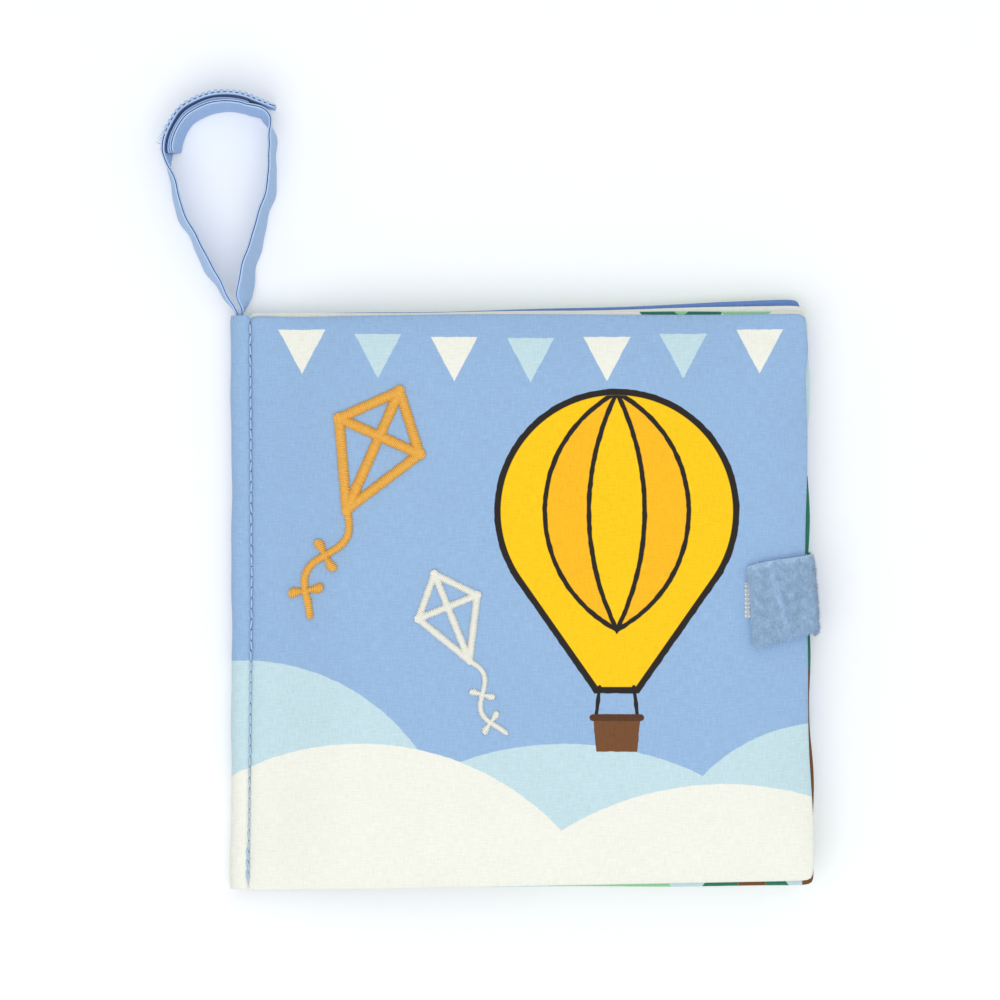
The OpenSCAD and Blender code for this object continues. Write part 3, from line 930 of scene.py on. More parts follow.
def cover_outline(x, y):
    """The front cover's sewn edges: a little short of the leaves, and never quite straight."""
    across = from_seam(x)
    fore = FORE_X - FORE_SHORT + EAR_OUT * np.exp(-((y - EAR_Y) / EAR_L) ** 2)
    fore = fore + FORE_TAIL_OUT * ease(-y / HALF_COVER) - FORE_WAVE * np.sin(y / FORE_WAVE_L)
    head = HEAD_Y - HEAD_SHORT + HEAD_WAVE * np.sin((x - HEAD_WAVE_X) / HEAD_WAVE_L)
    head = head + HEAD_SLOPE * across + SEAM_LIFT * np.exp(-(across * SEAM_LIFT_FADE) ** 2)
    tail = TAIL_Y - TAIL_DROP + TAIL_SLOPE * np.clip(across, 0, 1)
    short = CORNER_SHORT * corner_round(x, y)
    px = blend_to(seam_line(y) + SEAM_CLEAR, fore, across) - short
    return px, blend_to(tail, head, (y - TAIL_Y) / COVER_L) - short * np.sign(y)


def back_outline(x, y):
    across = from_seam(x)
    fore = FORE_X - BACK_SHORT + BACK_BELLY * np.exp(-((y - BACK_BELLY_Y) / BACK_BELLY_L) ** 2)
    short = CORNER_SHORT * corner_round(x, y)
    tail_drop = BACK_TAIL_DROP * (y < 0) * across
    px = blend_to(SEAM_X + SEAM_CLEAR, fore, across) - short
    return px, y * BACK_SHRINK - tail_drop - short * np.sign(y)


def leaf_outline(k):
    """Edges of one leaf, each slipped a little further to the head than the one above it."""
    top = k == LEAVES
    def outline(x, y):
        share = np.clip(from_seam(x), 0, 1)
        short = LEAF_CORNER * corner_round(x, y)
        ripple = END_RIPPLE * np.sin(x / END_RIPPLE_L + k) * np.sign(y)
        ripple = ripple + FORE_RIPPLE * np.sin(y / FORE_RIPPLE_L + 2 * k - FORE_RIPPLE_START) * share
        strayed = TOP_LEAF_TAIL_OUT * ease(-y / HEAD_Y) - TOP_LEAF_IN if top else -UNDER_LEAF_IN
        px = x + (LEAF_OUT[k - 1] + strayed) * share - short + ripple * share
        py = y * (HEAD_Y + LEAF_LONGER) / HEAD_Y + LEAF_SLIP[k - 1] * share * share
        py = py - TOP_LEAF_DROP * share * (y < 0) * top
        return px, py - short * np.sign(y) + ripple * RIPPLE_AT_ENDS
    return outline


front_cover = padded_layer(
    "front_cover_padded", TOP_LAYER, SEAM_X, cover_outline, [COVER_CLOTH, LINING_CLOTH],
    COVER_SLACK, COVER_CAP
)
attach(front_cover, "front_cover")
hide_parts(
    "front_cover_panel", "front_cover_lining", "front_cover_wadding",
    "print_far_hills", "print_near_hills", "print_balloon", "print_gores", "print_outline",
    "print_basket", "print_pennants"
)

back_cover = padded_layer(
    "back_cover_padded", 0, SEAM_X, back_outline, [LINING_CLOTH, BACK_CLOTH], LEAF_SLACK, LEAF_CAP
)
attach(back_cover, "book")
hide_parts("back_cover_panel", "back_cover_lining", "back_cover_wadding")

for k in range(1, LEAVES + 1):
    leaf_cloths = [PAGE_CLOTHS[k - 1], UNDER_CLOTHS[k - 1]]
    leaf = padded_layer(
        f"leaf_{k}_padded", k, LEAF_X, leaf_outline(k), leaf_cloths, LEAF_SLACK, LEAF_CAP
    )
    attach(leaf, "book")
    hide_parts("pages")


def cover_height(x, y):
    """Height of the front cover's upper face, in millimetres."""
    hit, place, _, _ = front_cover.ray_cast(Vector((x * MM, y * MM, 0.1)), Vector((0, 0, -1)))
    return place.z / MM if hit else mid_z(TOP_LAYER, x, y) + half_z(TOP_LAYER, x, y)


# Spine: the cover cloth goes round it from one stitch line to the other

FOLD_R = 4.2
FOLD_EDGE = 0.1
FOLD_SHOULDER = (0.7, 0.25)
SPINE_ENDS = 1.1
SPINE_HEAD_SHORT = 0.4
SPINE_BULGE = 0.25
SPINE_FLARE = 0.5
SPINE_PUFF = 0.22
SPINE_PUFF_DEPTH = 0.6
SPINE_WAVES = ((1.0, 7.3, 0), (0.6, 3.1, 1))
SPINE_ROLL = 0.35
SPINE_CUTS = (26, 140)
PROFILE_POINTS = 200


def to_the_right(route):
    """Unit vectors across a flat route, to its right."""
    heading = unit(np.gradient(route, axis=0))
    return np.column_stack([heading[:, 1], -heading[:, 0]])


def spine_profile():
    """Outer face of the fold from the upper stitch line round to the lower one, as x and z."""
    inner_x = SEAM_X - FOLD_EDGE
    upper = [
        [inner_x, SPINE_H - SEAM_DIP - FOLD_EDGE],
        [inner_x - FOLD_SHOULDER[0], SPINE_H - FOLD_SHOULDER[1]]
    ]
    for angle in np.radians(np.linspace(90, 180, 12)):
        round_x = FOLD_X - SPINE_BULGE + (FOLD_R + SPINE_BULGE) * (1 + math.cos(angle))
        upper.append([round_x, SPINE_H - FOLD_R * (1 - math.sin(angle))])
    lower = [[x, SPINE_H - z] for x, z in reversed(upper)]
    return evenly(np.array(upper + lower), PROFILE_POINTS)


def spine():
    profile, around = spine_profile()
    piece, u, v, w = block("spine_fold_cloth", *SPINE_CUTS)
    y = blend_to(TAIL_Y - SPINE_ENDS, HEAD_Y - SPINE_HEAD_SHORT, v)
    waves = sum(size * np.sin(y / reach + start) for size, reach, start in SPINE_WAVES)
    puff = SPINE_PUFF * np.sin(math.pi * u) * waves * (w > 0.5)
    rolled = SPINE_ROLL * on_rim(v)
    flare = SPINE_FLARE * abs(y / HEAD_Y) ** 3 * np.sin(math.pi * u) ** 2
    depth = (1 - w) * CLOTH_T + np.where(w > 0.5, rolled - puff * SPINE_PUFF_DEPTH, -rolled) - flare
    place = at_shares(profile, u) - at_shares(to_the_right(profile), u) * depth[:, None]
    place[:, 0] += (seam_line(y) - SEAM_X) * np.clip(1 - u * 4, 0, 1)
    put(piece, np.column_stack([place[:, 0], y, place[:, 1]]) * MM)
    piece.data.materials.append(COVER_CLOTH)
    refine(piece)
    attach(piece, "book")
    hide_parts("spine_fold")


spine()


# The stitch line along the spine, with a knot at its head and a double row at its tail

STITCH_PITCH = 3.1
STITCH_R = 0.3
STITCH_RISE = 0.32
STITCH_ARCH = 0.7
STITCH_FULL = 0.97
STITCH_IN = 0.05
STITCH_UNEVEN = 0.05
STITCH_TURN = 0.07
FIRST_STITCH = 0.8
DOUBLE_ROW_L = 9
DOUBLE_FULL = 0.8
DOUBLE_SHIFT = (-0.35, 1.1, 0.08)
KNOT_TURNS = (70, 110, 150)
KNOT_L = 1.5
KNOT_R = 0.3
KNOT_IN = 0.6
KNOT_RISE = 0.1


def stitch_frame(place, along, up, length, r):
    """Frame of one stitch: its place, and its length, width and height axes."""
    side = np.cross(up, along)
    return place, [along * length / 2, side * r, up * r]


def topstitch():
    frames = []
    up = np.array([0.0, 0.0, 1.0])
    z = SPINE_H - SEAM_DIP + STITCH_RISE
    count = int((COVER_L - 1) / STITCH_PITCH)
    for i in range(count):
        y = TAIL_Y + FIRST_STITCH + STITCH_PITCH * (i + 0.5)
        x = seam_line(y) - STITCH_IN + rng.normal(0, STITCH_UNEVEN)
        along = unit(np.array([rng.normal(0, STITCH_TURN), 1.0, 0.0]))
        spot = np.array([x, y, z])
        frames.append(stitch_frame(spot, along, up, STITCH_PITCH * STITCH_FULL, STITCH_R))
        if y < TAIL_Y + DOUBLE_ROW_L:
            second = spot + np.array(DOUBLE_SHIFT)
            frames.append(stitch_frame(second, along, up, STITCH_PITCH * DOUBLE_FULL, STITCH_R))
    for turn in np.radians(KNOT_TURNS):
        knot_x = seam_line(HEAD_Y) + KNOT_R * math.cos(turn)
        knot = np.array([knot_x, HEAD_Y - KNOT_IN, z + KNOT_RISE])
        along = np.array([math.cos(turn), math.sin(turn), 0.0])
        frames.append(stitch_frame(knot, along, up, KNOT_L, STITCH_R))
    stitches = copies("spine_stitches", thread_model(STITCH_ARCH), frames, SEAM_YARN)
    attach(stitches, "book")


topstitch()


# Bands of cloth that were made flat and then follow a route

RUN_FRAMES = 400


class Run:
    """Frames along a band in millimetres: middles, half-width vectors and outward faces."""

    def __init__(self, middles, halves):
        walked = walked_along(middles)
        stops = np.linspace(0, walked[-1], RUN_FRAMES)
        self.length = walked[-1]
        self.middles = read_off(middles, walked, stops)
        self.halves = read_off(halves, walked, stops)
        self.along = unit(np.gradient(self.middles, axis=0))
        self.out = unit(np.cross(self.along, self.halves))

    def at(self, share, across, out):
        """Places at shares of the length and of the half width, and out of the band's middle."""
        across, out = np.asarray(across)[:, None], np.asarray(out)[:, None]
        beside_middle = at_shares(self.halves, share) * across
        return at_shares(self.middles, share) + beside_middle + at_shares(self.out, share) * out

    def spot(self, share, across, out):
        """One such place."""
        return self.at([share], [across], [out])[0]


# The strap's two ends and the tapes between them, as they stand on edge

STRAP_W = 15.0
STRAP_T = 1.2
TAPE_T = 0.5
TAPE_W = 13.0
TAPE_GAP = 0.15
LOOP_W = 33.0
LOOP_L = 64.5
SIDE_LEAN = 2.6
FOOT_LEAN = 1.6
FOOT_OPENS = 6.0
UPPER_LEAN = 0.6
LEAN_SETTLES = 1.4
TOP_LEAN = 2.3
TIP_UPRIGHT = 0.8
ROOT_L = 8.0
ROOT_LAYERS = 1.7
ROOT_IN = 1.2
ROOT_GAP = 0.1
STRAP_LIFT = 0.3
ROOT_HALF = SPINE_H / 2 - PRESSED_T * ROOT_LAYERS
STRAP_MID = STRAP_W / 2 + STRAP_LIFT
LEFT_ROOT = FOLD_X + ROOT_IN + STRAP_T / 2
RIGHT_ROOT = LEFT_ROOT + STRAP_T + ROOT_GAP
ROUTE_STEPS = 24

# Where the strap's lean turns over, where it ends and what overlaps, as spans of the left route
TURN = (5.8, 6.8)
TIP = (11.0, 11.8)
OVERLAP = (6.65, 11.25)


def on_loop(across, along):
    return [FOLD_X + LOOP_W * across, HEAD_Y + LOOP_L * along]


def spline(points, steps=ROUTE_STEPS):
    """Smooth curve through a list of points."""
    p = np.array([points[0]] + list(points) + [points[-1]], float)
    curve = []
    for i in range(1, len(p) - 2):
        a, b, c, d = p[i - 1:i + 3]
        for v in np.arange(steps) / steps:
            bend = (2 * a - 5 * b + 4 * c - d) * v ** 2 + (3 * b - a - 3 * c + d) * v ** 3
            curve.append(0.5 * (2 * b + (c - a) * v + bend))
    return np.array(curve + [p[-2]])


def ease_between(value, ends):
    """Smooth step from 0 to 1, as the value goes from the first end to the second."""
    return ease((value - ends[0]) / (ends[1] - ends[0]))


def lean(route, foot, opening):
    """How far the upper edge leans: into the loop along its sides, out of it over its top."""
    up = route[:, 1] - HEAD_Y
    spans = np.arange(len(route)) / ROUTE_STEPS
    side = SIDE_LEAN * blend_to(foot, UPPER_LEAN, ease(LEAN_SETTLES * up / LOOP_L))
    top = -TOP_LEAN * (1 - TIP_UPRIGHT * ease_between(spans, TIP))
    return blend_to(side, top, ease_between(spans, TURN)) * ease(up / opening)


def on_edge(route, leans, width):
    opened = ease((route[:, 1] - HEAD_Y) / STRAP_W)
    share = width / STRAP_W
    over = to_the_right(route) * (leans / 2 * share)[:, None]
    half = blend_to(ROOT_HALF, STRAP_W / 2, opened) * share
    middles = np.column_stack([route, blend_to(SPINE_H / 2, STRAP_MID, opened)])
    return Run(middles, np.column_stack([over, half]))


LEFT_POINTS = [
    [LEFT_ROOT, HEAD_Y - ROOT_L], [LEFT_ROOT, HEAD_Y - 1.5],
    on_loop(0.024, 0.028), on_loop(-0.073, 0.1), on_loop(-0.19, 0.2), on_loop(-0.4, 0.4),
    on_loop(-0.545, 0.635), on_loop(-0.58, 0.78),
    on_loop(-0.467, 0.903), on_loop(-0.315, 0.962), on_loop(-0.136, 0.991), on_loop(0.085, 0.984),
    on_loop(0.388, 0.941)
]
RIGHT_POINTS = [
    [RIGHT_ROOT, HEAD_Y - ROOT_L], [RIGHT_ROOT, HEAD_Y + 0.5],
    on_loop(0.097, 0.109), on_loop(0.185, 0.28), on_loop(0.29, 0.48), on_loop(0.36, 0.68),
    on_loop(0.35, 0.82), on_loop(0.29, 0.91)
]

left_route = spline(LEFT_POINTS)
left_leans = lean(left_route, 1, STRAP_W)
lap_from, lap_to = [int(span * ROUTE_STEPS) for span in OVERLAP]
lap_leans = left_leans[lap_from:lap_to + 1]


def beside(distance):
    """The part of the left route that the right strap overlaps, moved into the loop."""
    return (left_route + to_the_right(left_route) * distance)[lap_from:lap_to + 1]


hook_beside = STRAP_T / 2 + TAPE_GAP + TAPE_T / 2
loop_beside = hook_beside + TAPE_T + TAPE_GAP
inner_route = beside(loop_beside + TAPE_T / 2 + TAPE_GAP + STRAP_T / 2)[::-1]
own_route = spline(RIGHT_POINTS + [list(inner_route[0])])
right_route = np.concatenate([own_route, inner_route[1:]])
own_leans = lean(own_route, FOOT_LEAN, FOOT_OPENS)
right_leans = -np.concatenate([own_leans[:-1], lap_leans[::-1]])

left_run = on_edge(left_route, left_leans, STRAP_W)
right_run = on_edge(right_route, right_leans, STRAP_W)
hook_run = on_edge(beside(hook_beside), lap_leans, TAPE_W)
loop_run = on_edge(beside(loop_beside), lap_leans, TAPE_W)


STRAP_CUTS = (0.22, 0.4, 0.5, 0.6, 0.78)
STRAP_NET = (170, 8)
GROOVE_HALF = 0.15
GROOVE_DEPTH = 0.75
GROOVE_SIDE = 0.12
LIP_ROUND = 0.28
STRAP_WAVE = 0.2
WAVES_AT_FOOT = 0.2
LAP_START = 0.55
LAP_FADE = 0.05
LAP_FLATNESS = 0.7
STRAP_WAVES = ((1.0, 41, 1), (0.8, 23, 2), (0.4, 77, 0))
FOOT_SHARE = 0.0625
UPPER_RIPPLE = 0.012
UPPER_RIPPLES = 52
END_ROUND = 0.2
END_SHARE = 1 / 60


def strap(name, node, run, phase):
    """Folded cotton strip: its two long edges show the fold as a groove between two lips, with
    painted shade in the groove and a painted highlight on the lips.
    """
    band, u, v, w = block(name, *STRAP_NET, STRAP_CUTS)
    edge = on_rim(v)
    across = (v - 0.5) * 2
    from_middle = abs(w - 0.5)
    inset = np.where(from_middle < GROOVE_HALF, GROOVE_SIDE, 0.0)
    inset = np.where(from_middle < MIDDLE_ROW, GROOVE_DEPTH, inset)
    inset = np.where(from_middle > FACE_ROW, LIP_ROUND, inset) * edge
    wave = sum(size * np.sin(u * turns + phase * start) for size, turns, start in STRAP_WAVES)
    lapped = ease((u - LAP_START) / LAP_FADE)
    out_of_foot = np.sin(math.pi / 2 * np.clip(u / FOOT_SHARE, 0, 1))
    free = out_of_foot * (1 - LAP_FLATNESS * lapped)
    out = (w - 0.5) * STRAP_T + wave * (STRAP_WAVE + WAVES_AT_FOOT * (1 - v)) * free
    reach = 1 + UPPER_RIPPLE * np.sin(u * UPPER_RIPPLES + phase) * (v > 0.5)
    reach = reach * (1 - END_ROUND * np.clip(1 - (1 - u) / END_SHARE, 0, 1) ** 2)
    place = run.at(u, across * (1 - inset / (STRAP_W / 2)) * reach, out)
    put(band, place * MM)
    keep_pattern(band, u * run.length, v * STRAP_W)
    # Groove faces take the painted shade; the other rim faces take the painted highlight.
    def pick(corners):
        if not edge[corners].all():
            return 0
        return 1 if from_middle[corners].max() < GROOVE_HALF else 2
    paint_faces(band, [STRAP_CLOTH, FOLD_SHADE_CLOTH, LIP_HIGHLIGHT_CLOTH], pick)
    refine(band)
    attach(band, "book")
    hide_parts(node)


LEFT_PHASE = 0.4
RIGHT_PHASE = 2.1
strap("strap_left_folded", "strap_left", left_run, LEFT_PHASE)
strap("strap_right_folded", "strap_right", right_run, RIGHT_PHASE)

BORDER_PITCH = 1.7
BORDER_FROM = 0.635
BORDER_TO = 0.985
BORDER_ARCH = 0.5
BORDER_IN = 0.2
BORDER_SUNK = 0.12
BORDER_UNEVEN = 0.12
BORDER_HALF = (0.46, 0.62, 0.36)


def border_stitches(run):
    """Stitches over the strap's upper edge, where the hook tape is sewn on."""
    frames = []
    share_l = BORDER_TO - BORDER_FROM
    count = int(run.length * share_l / BORDER_PITCH)
    shares = BORDER_FROM + (np.arange(count) + 0.5) / count * share_l
    spots = run.at(shares, np.full(count, 1.0), np.full(count, -STRAP_T * BORDER_IN))
    for spot, along, out in zip(spots, at_shares(run.along, shares), at_shares(run.out, shares)):
        over = unit(unit(out) + unit(along) * rng.normal(0, BORDER_UNEVEN))
        up = unit(np.cross(unit(along), over))
        up = up * np.sign(up[2])
        length, width, height = BORDER_HALF
        axes = [over * STRAP_T * length, np.cross(up, over) * width, up * height]
        frames.append((spot - up * BORDER_SUNK, axes))
    stitches = copies("strap_border_stitches", thread_model(BORDER_ARCH), frames, BORDER_YARN)
    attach(stitches, "book")


border_stitches(left_run)

TAPE_NET = (60, 12)
TAPE_CORNER = 0.04


def tape(name, node, run, finish):
    band, u, v, w = block(name, *TAPE_NET)
    reach = (v - 0.5) * 2 * (1 - TAPE_CORNER * (on_rim(u) & on_rim(v)))
    put(band, run.at(u, reach, (w - 0.5) * TAPE_T) * MM)
    band.data.materials.append(finish)
    smooth_shade(band, CRISP_ANGLE)
    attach(band, "book")
    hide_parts(node)


tape("strap_hook_tape_band", "strap_hook_tape", hook_run, HOOK_TAPE)
tape("strap_loop_tape_band", "strap_loop_tape", loop_run, LOOP_TAPE)

FRAYED = 13
FRAY_FROM = 0.605
FRAY_L = 0.045
FRAY_R = 0.1
FRAY_ARCH = 2.0
FRAY_OUT = 0.4
FRAY_REACH = (0.9, 2.2)
FRAY_SPREAD = 0.7
FRAY_SHIFT = 0.006
FRAY_ACROSS = (0.6, 1.0)


def frayed_ends():
    """Loose thread ends where the hook tape starts."""
    frames = []
    for i in range(FRAYED):
        share = FRAY_FROM + FRAY_L * i / FRAYED + rng.uniform(-FRAY_SHIFT, FRAY_SHIFT)
        root = left_run.spot(share, rng.uniform(*FRAY_ACROSS), -STRAP_T / 2)
        outside = left_run.spot(share, 0, 0) - left_run.spot(share, 0, 1)
        heading = unit(outside + rng.normal(0, FRAY_SPREAD, 3) * np.array([1, 1, 0.5]))
        length = rng.uniform(*FRAY_REACH)
        up = unit(np.cross(np.cross(heading, [0, 0, 1.0]), heading))
        frames.append(stitch_frame(root + heading * length * FRAY_OUT, heading, up, length, FRAY_R))
    threads = copies("strap_loose_threads", thread_model(FRAY_ARCH), frames, LOOSE_YARN)
    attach(threads, "book")


frayed_ends()


# Closing tab of plush, which comes round the fore edge and lies on the hook patch

TAB_W = 23.5
TAB_T = 1.5
TAB_REACH = 18.0
TAB_SLANT = 4.0
TAB_UP = 2.0
TAB_SKEW = 0.9
TAB_TURN = 3.0
TAB_PRESS = 0.7
PATCH_T = 1.2
TAB_PLAY = 0.45
TAB_X = FORE_X + max(LEAF_OUT) + LAYER_GAP + TAB_T / 2 - TAB_PRESS
TAB_LIFT = PATCH_T + TAB_PLAY + TAB_T / 2
TAB_FOOT_IN = 0.3
TAB_FOOT_UP = 0.2
TAB_BEND_UP = 3
TAB_BEND_DOWN = 1
TAB_TURNS = (20, 55)
TAB_TURN_SLANT = 0.1
TAB_STOPS = (0.22, 0.4, 0.6, 0.8, 1)
TAB_STEPS = 12
TAB_NET = (44, 26)
TAB_CUTS = (0.25, 0.5, 0.75)
TAB_ROUND = 3
TAB_EDGE_T = 0.55
TAB_CORNER_IN = (0.2, 0.75)
TAB_DIMPLE = 0.15
TAB_DIMPLES = 19
TAB_FLARE = 0.03
TAB_FLARES = 9
PRESSED_RISE = 0.35
PRESSED_L = 0.9
PILE_L = 1.15
PILE_R = 0.12
PILE_COUNT = 24000
PILE_UNEVEN = (0.6, 1.2)
PILE_LOWEST = -0.3
PILE_RAISED = 0.36
PILE_TUFTS = 0.1
PILE_SWIRL = 0.18
TUFT_WAVES = (1.4, 2.0, 0.9)
SWIRL_WAVES = (1.9, 1.3, 0.8)
PILE_SIDEWAYS = 0.25
PILE_TO_TAIL = (-0.75, 0.3)


def top_z(x):
    return float(mid_z(TOP_LAYER, x, 0.0) + half_z(TOP_LAYER, x, 0.0))


def tab_route():
    edge_mid = float(mid_z(TOP_LAYER, FORE_X, 0.0))
    points = [
        [TAB_X - TAB_FOOT_IN, TAB_UP, EDGE_HALF + TAB_FOOT_UP],
        [TAB_X, TAB_UP, full_mid(0) + TAB_BEND_UP],
        [TAB_X, TAB_UP, edge_mid - TAB_BEND_DOWN]
    ]
    for angle in TAB_TURNS:
        turn = math.radians(angle)
        high = blend_to(edge_mid, top_z(FORE_X - TAB_TURN) + TAB_LIFT, math.sin(turn))
        y = TAB_UP - TAB_SLANT * TAB_TURN_SLANT * angle / 90
        points.append([TAB_X - TAB_TURN * (1 - math.cos(turn)), y, high])
    for share in TAB_STOPS:
        x = FORE_X - TAB_REACH * share
        points.append([x, TAB_UP - TAB_SLANT * share, top_z(x) + TAB_LIFT])
    return spline(points, TAB_STEPS)


def tab():
    route = tab_route()
    run = Run(route, np.tile([-TAB_SKEW, TAB_W / 2, 0], (len(route), 1)))
    band, u, v, w = block("closing_tab_plush", *TAB_NET, TAB_CUTS)
    across = (v - 0.5) * 2
    at_side, at_end = on_rim(v), at_finish(u)
    from_middle = abs(w - 0.5)
    tuck = np.where(from_middle > 0.2, TAB_CORNER_IN[0], 0.0)
    tuck = np.where(from_middle > FACE_ROW, TAB_CORNER_IN[1], tuck) * (at_side | at_end)
    from_side, from_end = (1 - abs(across)) * TAB_W / 2, (1 - u) * run.length
    edge_in = np.minimum(1, np.minimum(from_side / TAB_ROUND, from_end / TAB_ROUND))
    soft = np.sqrt(np.clip(1 - (1 - edge_in) ** 2, 0, 1))
    thick = TAB_T / 2 * (TAB_EDGE_T + TAB_EDGE_T * soft)
    dimples = TAB_DIMPLE * np.sin(u * TAB_DIMPLES + 2 * across) * soft * (w < 0.5)
    foot = 1 + TAB_FLARE * np.sin(u * TAB_FLARES)
    share = np.clip(u - tuck / run.length * at_end, 0, 1)
    reach = across * foot * (1 - tuck / (TAB_W / 2) * at_side)
    place = run.at(share, reach, (w - 0.5) * 2 * thick - dimples)
    from_line = place[:, 0] + PRESSED_SLANT * place[:, 1] - PRESSED_X
    place[:, 2] += PRESSED_RISE * np.exp(-(from_line / PRESSED_L) ** 2) * (w < 0.6) * soft
    put(band, place * MM)
    band.data.materials.append(TAB_PLUSH)
    refine(band)
    return band


def swaying(main, other, pitch, sway, sway_pitch):
    """Waves along one direction, from -1 to 1, that sway along the other."""
    return np.sin(pitch * main + sway * np.sin(sway_pitch * other))


def pile(band, name, count):
    """Short fibres of the plush: thin triangles that lie towards the tail, in swirls."""
    band.data.calc_loop_triangles()
    points = places(band) / MM
    corners = np.empty(len(band.data.loop_triangles) * 3, int)
    band.data.loop_triangles.foreach_get("vertices", corners)
    a, b, c = points[corners.reshape(-1, 3)].transpose(1, 0, 2)
    normals = np.cross(b - a, c - a)
    areas = np.linalg.norm(normals, axis=1)
    faces_out = unit(normals)[:, 2] > PILE_LOWEST
    chances = areas * faces_out
    picks = rng.choice(len(areas), count, p=chances / chances.sum())
    s, t = rng.random(count), rng.random(count)
    over = s + t > 1
    s[over], t[over] = 1 - s[over], 1 - t[over]
    roots = a[picks] + (b - a)[picks] * s[:, None] + (c - a)[picks] * t[:, None]
    normal = unit(normals[picks])
    swirl = swaying(roots[:, 0], roots[:, 1], *SWIRL_WAVES)
    tufts = swaying(roots[:, 1], roots[:, 0], *TUFT_WAVES)
    raised = PILE_RAISED + PILE_TUFTS * tufts
    sideways = PILE_SWIRL * swirl + rng.normal(0, PILE_SIDEWAYS, count)
    lay = np.column_stack([sideways, rng.normal(*PILE_TO_TAIL, count), np.zeros(count)])
    fibre = unit(normal * raised[:, None] + lay)
    side = unit(np.cross(fibre, normal)) * PILE_R
    tips = roots + fibre * (PILE_L * rng.uniform(*PILE_UNEVEN, count))[:, None]
    blades = np.stack([roots - side, roots + side, tips], axis=1).reshape(-1, 3)
    mesh = bpy.data.meshes.new(name)
    mesh.from_pydata((blades * MM).tolist(), [], np.arange(count * 3).reshape(-1, 3).tolist())
    mesh.materials.append(TAB_PLUSH)
    piece = bpy.data.objects.new(name, mesh)
    bpy.context.scene.collection.objects.link(piece)
    return piece


tab_plush = tab()
tab_pile = pile(tab_plush, "closing_tab_pile", PILE_COUNT)
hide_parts("closing_tab")
for piece in (tab_plush, tab_pile):
    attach(piece, "book")
    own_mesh(piece)


# Hook patch on the front cover, under the tab

PATCH_W = 15.0
PATCH_L = 10.5
PATCH_IN = 12.5
PATCH_X = FORE_X - PATCH_IN
PATCH_BASE = 0.45
PATCH_SUNK = 0.25
PATCH_TUCK = 0.5
TUCK_WAVE = 0.4
TUCK_PITCH = 2.2
PATCH_NET = (10, 12)
HOOK_SWING = 0.5
HOOK_PITCH = 1.25
HOOK_RISE = 0.32
HOOK_H = 0.7
HOOK_STEM = (0.2, 0.12)
HOOK_TIP = (0.12, 0, 0.45)
HOOK_TIP_SHARES = (0.75, 0.6, 0.34)


def hook_model():
    """One hook: a stem that narrows upwards, with a flat tip to one side."""
    deselect()
    bpy.ops.mesh.primitive_cone_add(vertices=8, radius1=HOOK_STEM[0], radius2=HOOK_STEM[1], depth=1)
    hook = named("hook_model")
    bpy.ops.object.mode_set(mode="EDIT")
    bpy.ops.mesh.primitive_uv_sphere_add(segments=8, ring_count=5, radius=0.5, location=HOOK_TIP)
    bpy.ops.transform.resize(
        value=HOOK_TIP_SHARES, center_override=HOOK_TIP, orient_type="GLOBAL"
    )
    bpy.ops.object.mode_set(mode="OBJECT")
    return hook


def hook_patch():
    base, u, v, w = block("hook_patch_base", *PATCH_NET)
    x, y = PATCH_X + (u - 0.5) * PATCH_W, (v - 0.5) * PATCH_L
    x = x + PATCH_TUCK * at_start(u) * (1 + TUCK_WAVE * np.sin(TUCK_PITCH * y))
    z = np.array([cover_height(px, py) for px, py in zip(x, y)])
    z = z - PATCH_SUNK + w * (PATCH_BASE + PATCH_SUNK)
    put(base, np.column_stack([x, y, z]) * MM)
    # The base's grey is painted shade between the hooks.
    base.data.materials.append(PATCH_BASE_SHADED)
    smooth_shade(base, CRISP_ANGLE)
    frames = []
    for i in range(int(PATCH_W / HOOK_PITCH)):
        for j in range(int(PATCH_L / HOOK_PITCH)):
            x = PATCH_X - PATCH_W / 2 + HOOK_PITCH * (i + 0.5)
            y = -PATCH_L / 2 + HOOK_PITCH * (j + 0.5)
            turn = rng.uniform(-HOOK_SWING, HOOK_SWING) + math.pi * (i % 2)
            over = [math.cos(turn), math.sin(turn), 0]
            place = np.array([x, y, cover_height(x, y) + PATCH_BASE + HOOK_RISE])
            frames.append((place, [over, [-over[1], over[0], 0], [0, 0, HOOK_H]]))
    hooks = copies("hook_patch_hooks", hook_model(), frames, HOOK_PATCH)
    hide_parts("hook_patch")
    for piece in (base, hooks):
        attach(piece, "front_cover")


hook_patch()


# Embroidered kites: satin stitches side by side across each stroke

SATIN_PITCH = 0.5
SATIN_R = 0.31
SATIN_SLANT = 0.22
SATIN_RISE = 0.27
SATIN_LIFT = 0.1
SATIN_END = 0.2
SATIN_UNEVEN = (0.04, 0.06)
FRAME_HALF = 0.45
FRAME_PAST = 0.35
CROSS_CORNERS = ((0, 0.38), (0.34, 0), (0, -0.62), (-0.34, 0))
STROKE_STOPS = 20
TAIL_L = 0.8
TAIL_EXTRA = 1.3
TAIL_SWAY = 0.09
TAIL_TURNS = 420
TAIL_STOPS = 60
BOW_SPOTS = (0.45, 0.8)
BOW_REACH = 0.096
BOW_HALF = (0.14, 0.42)
BOW_STOPS = 24


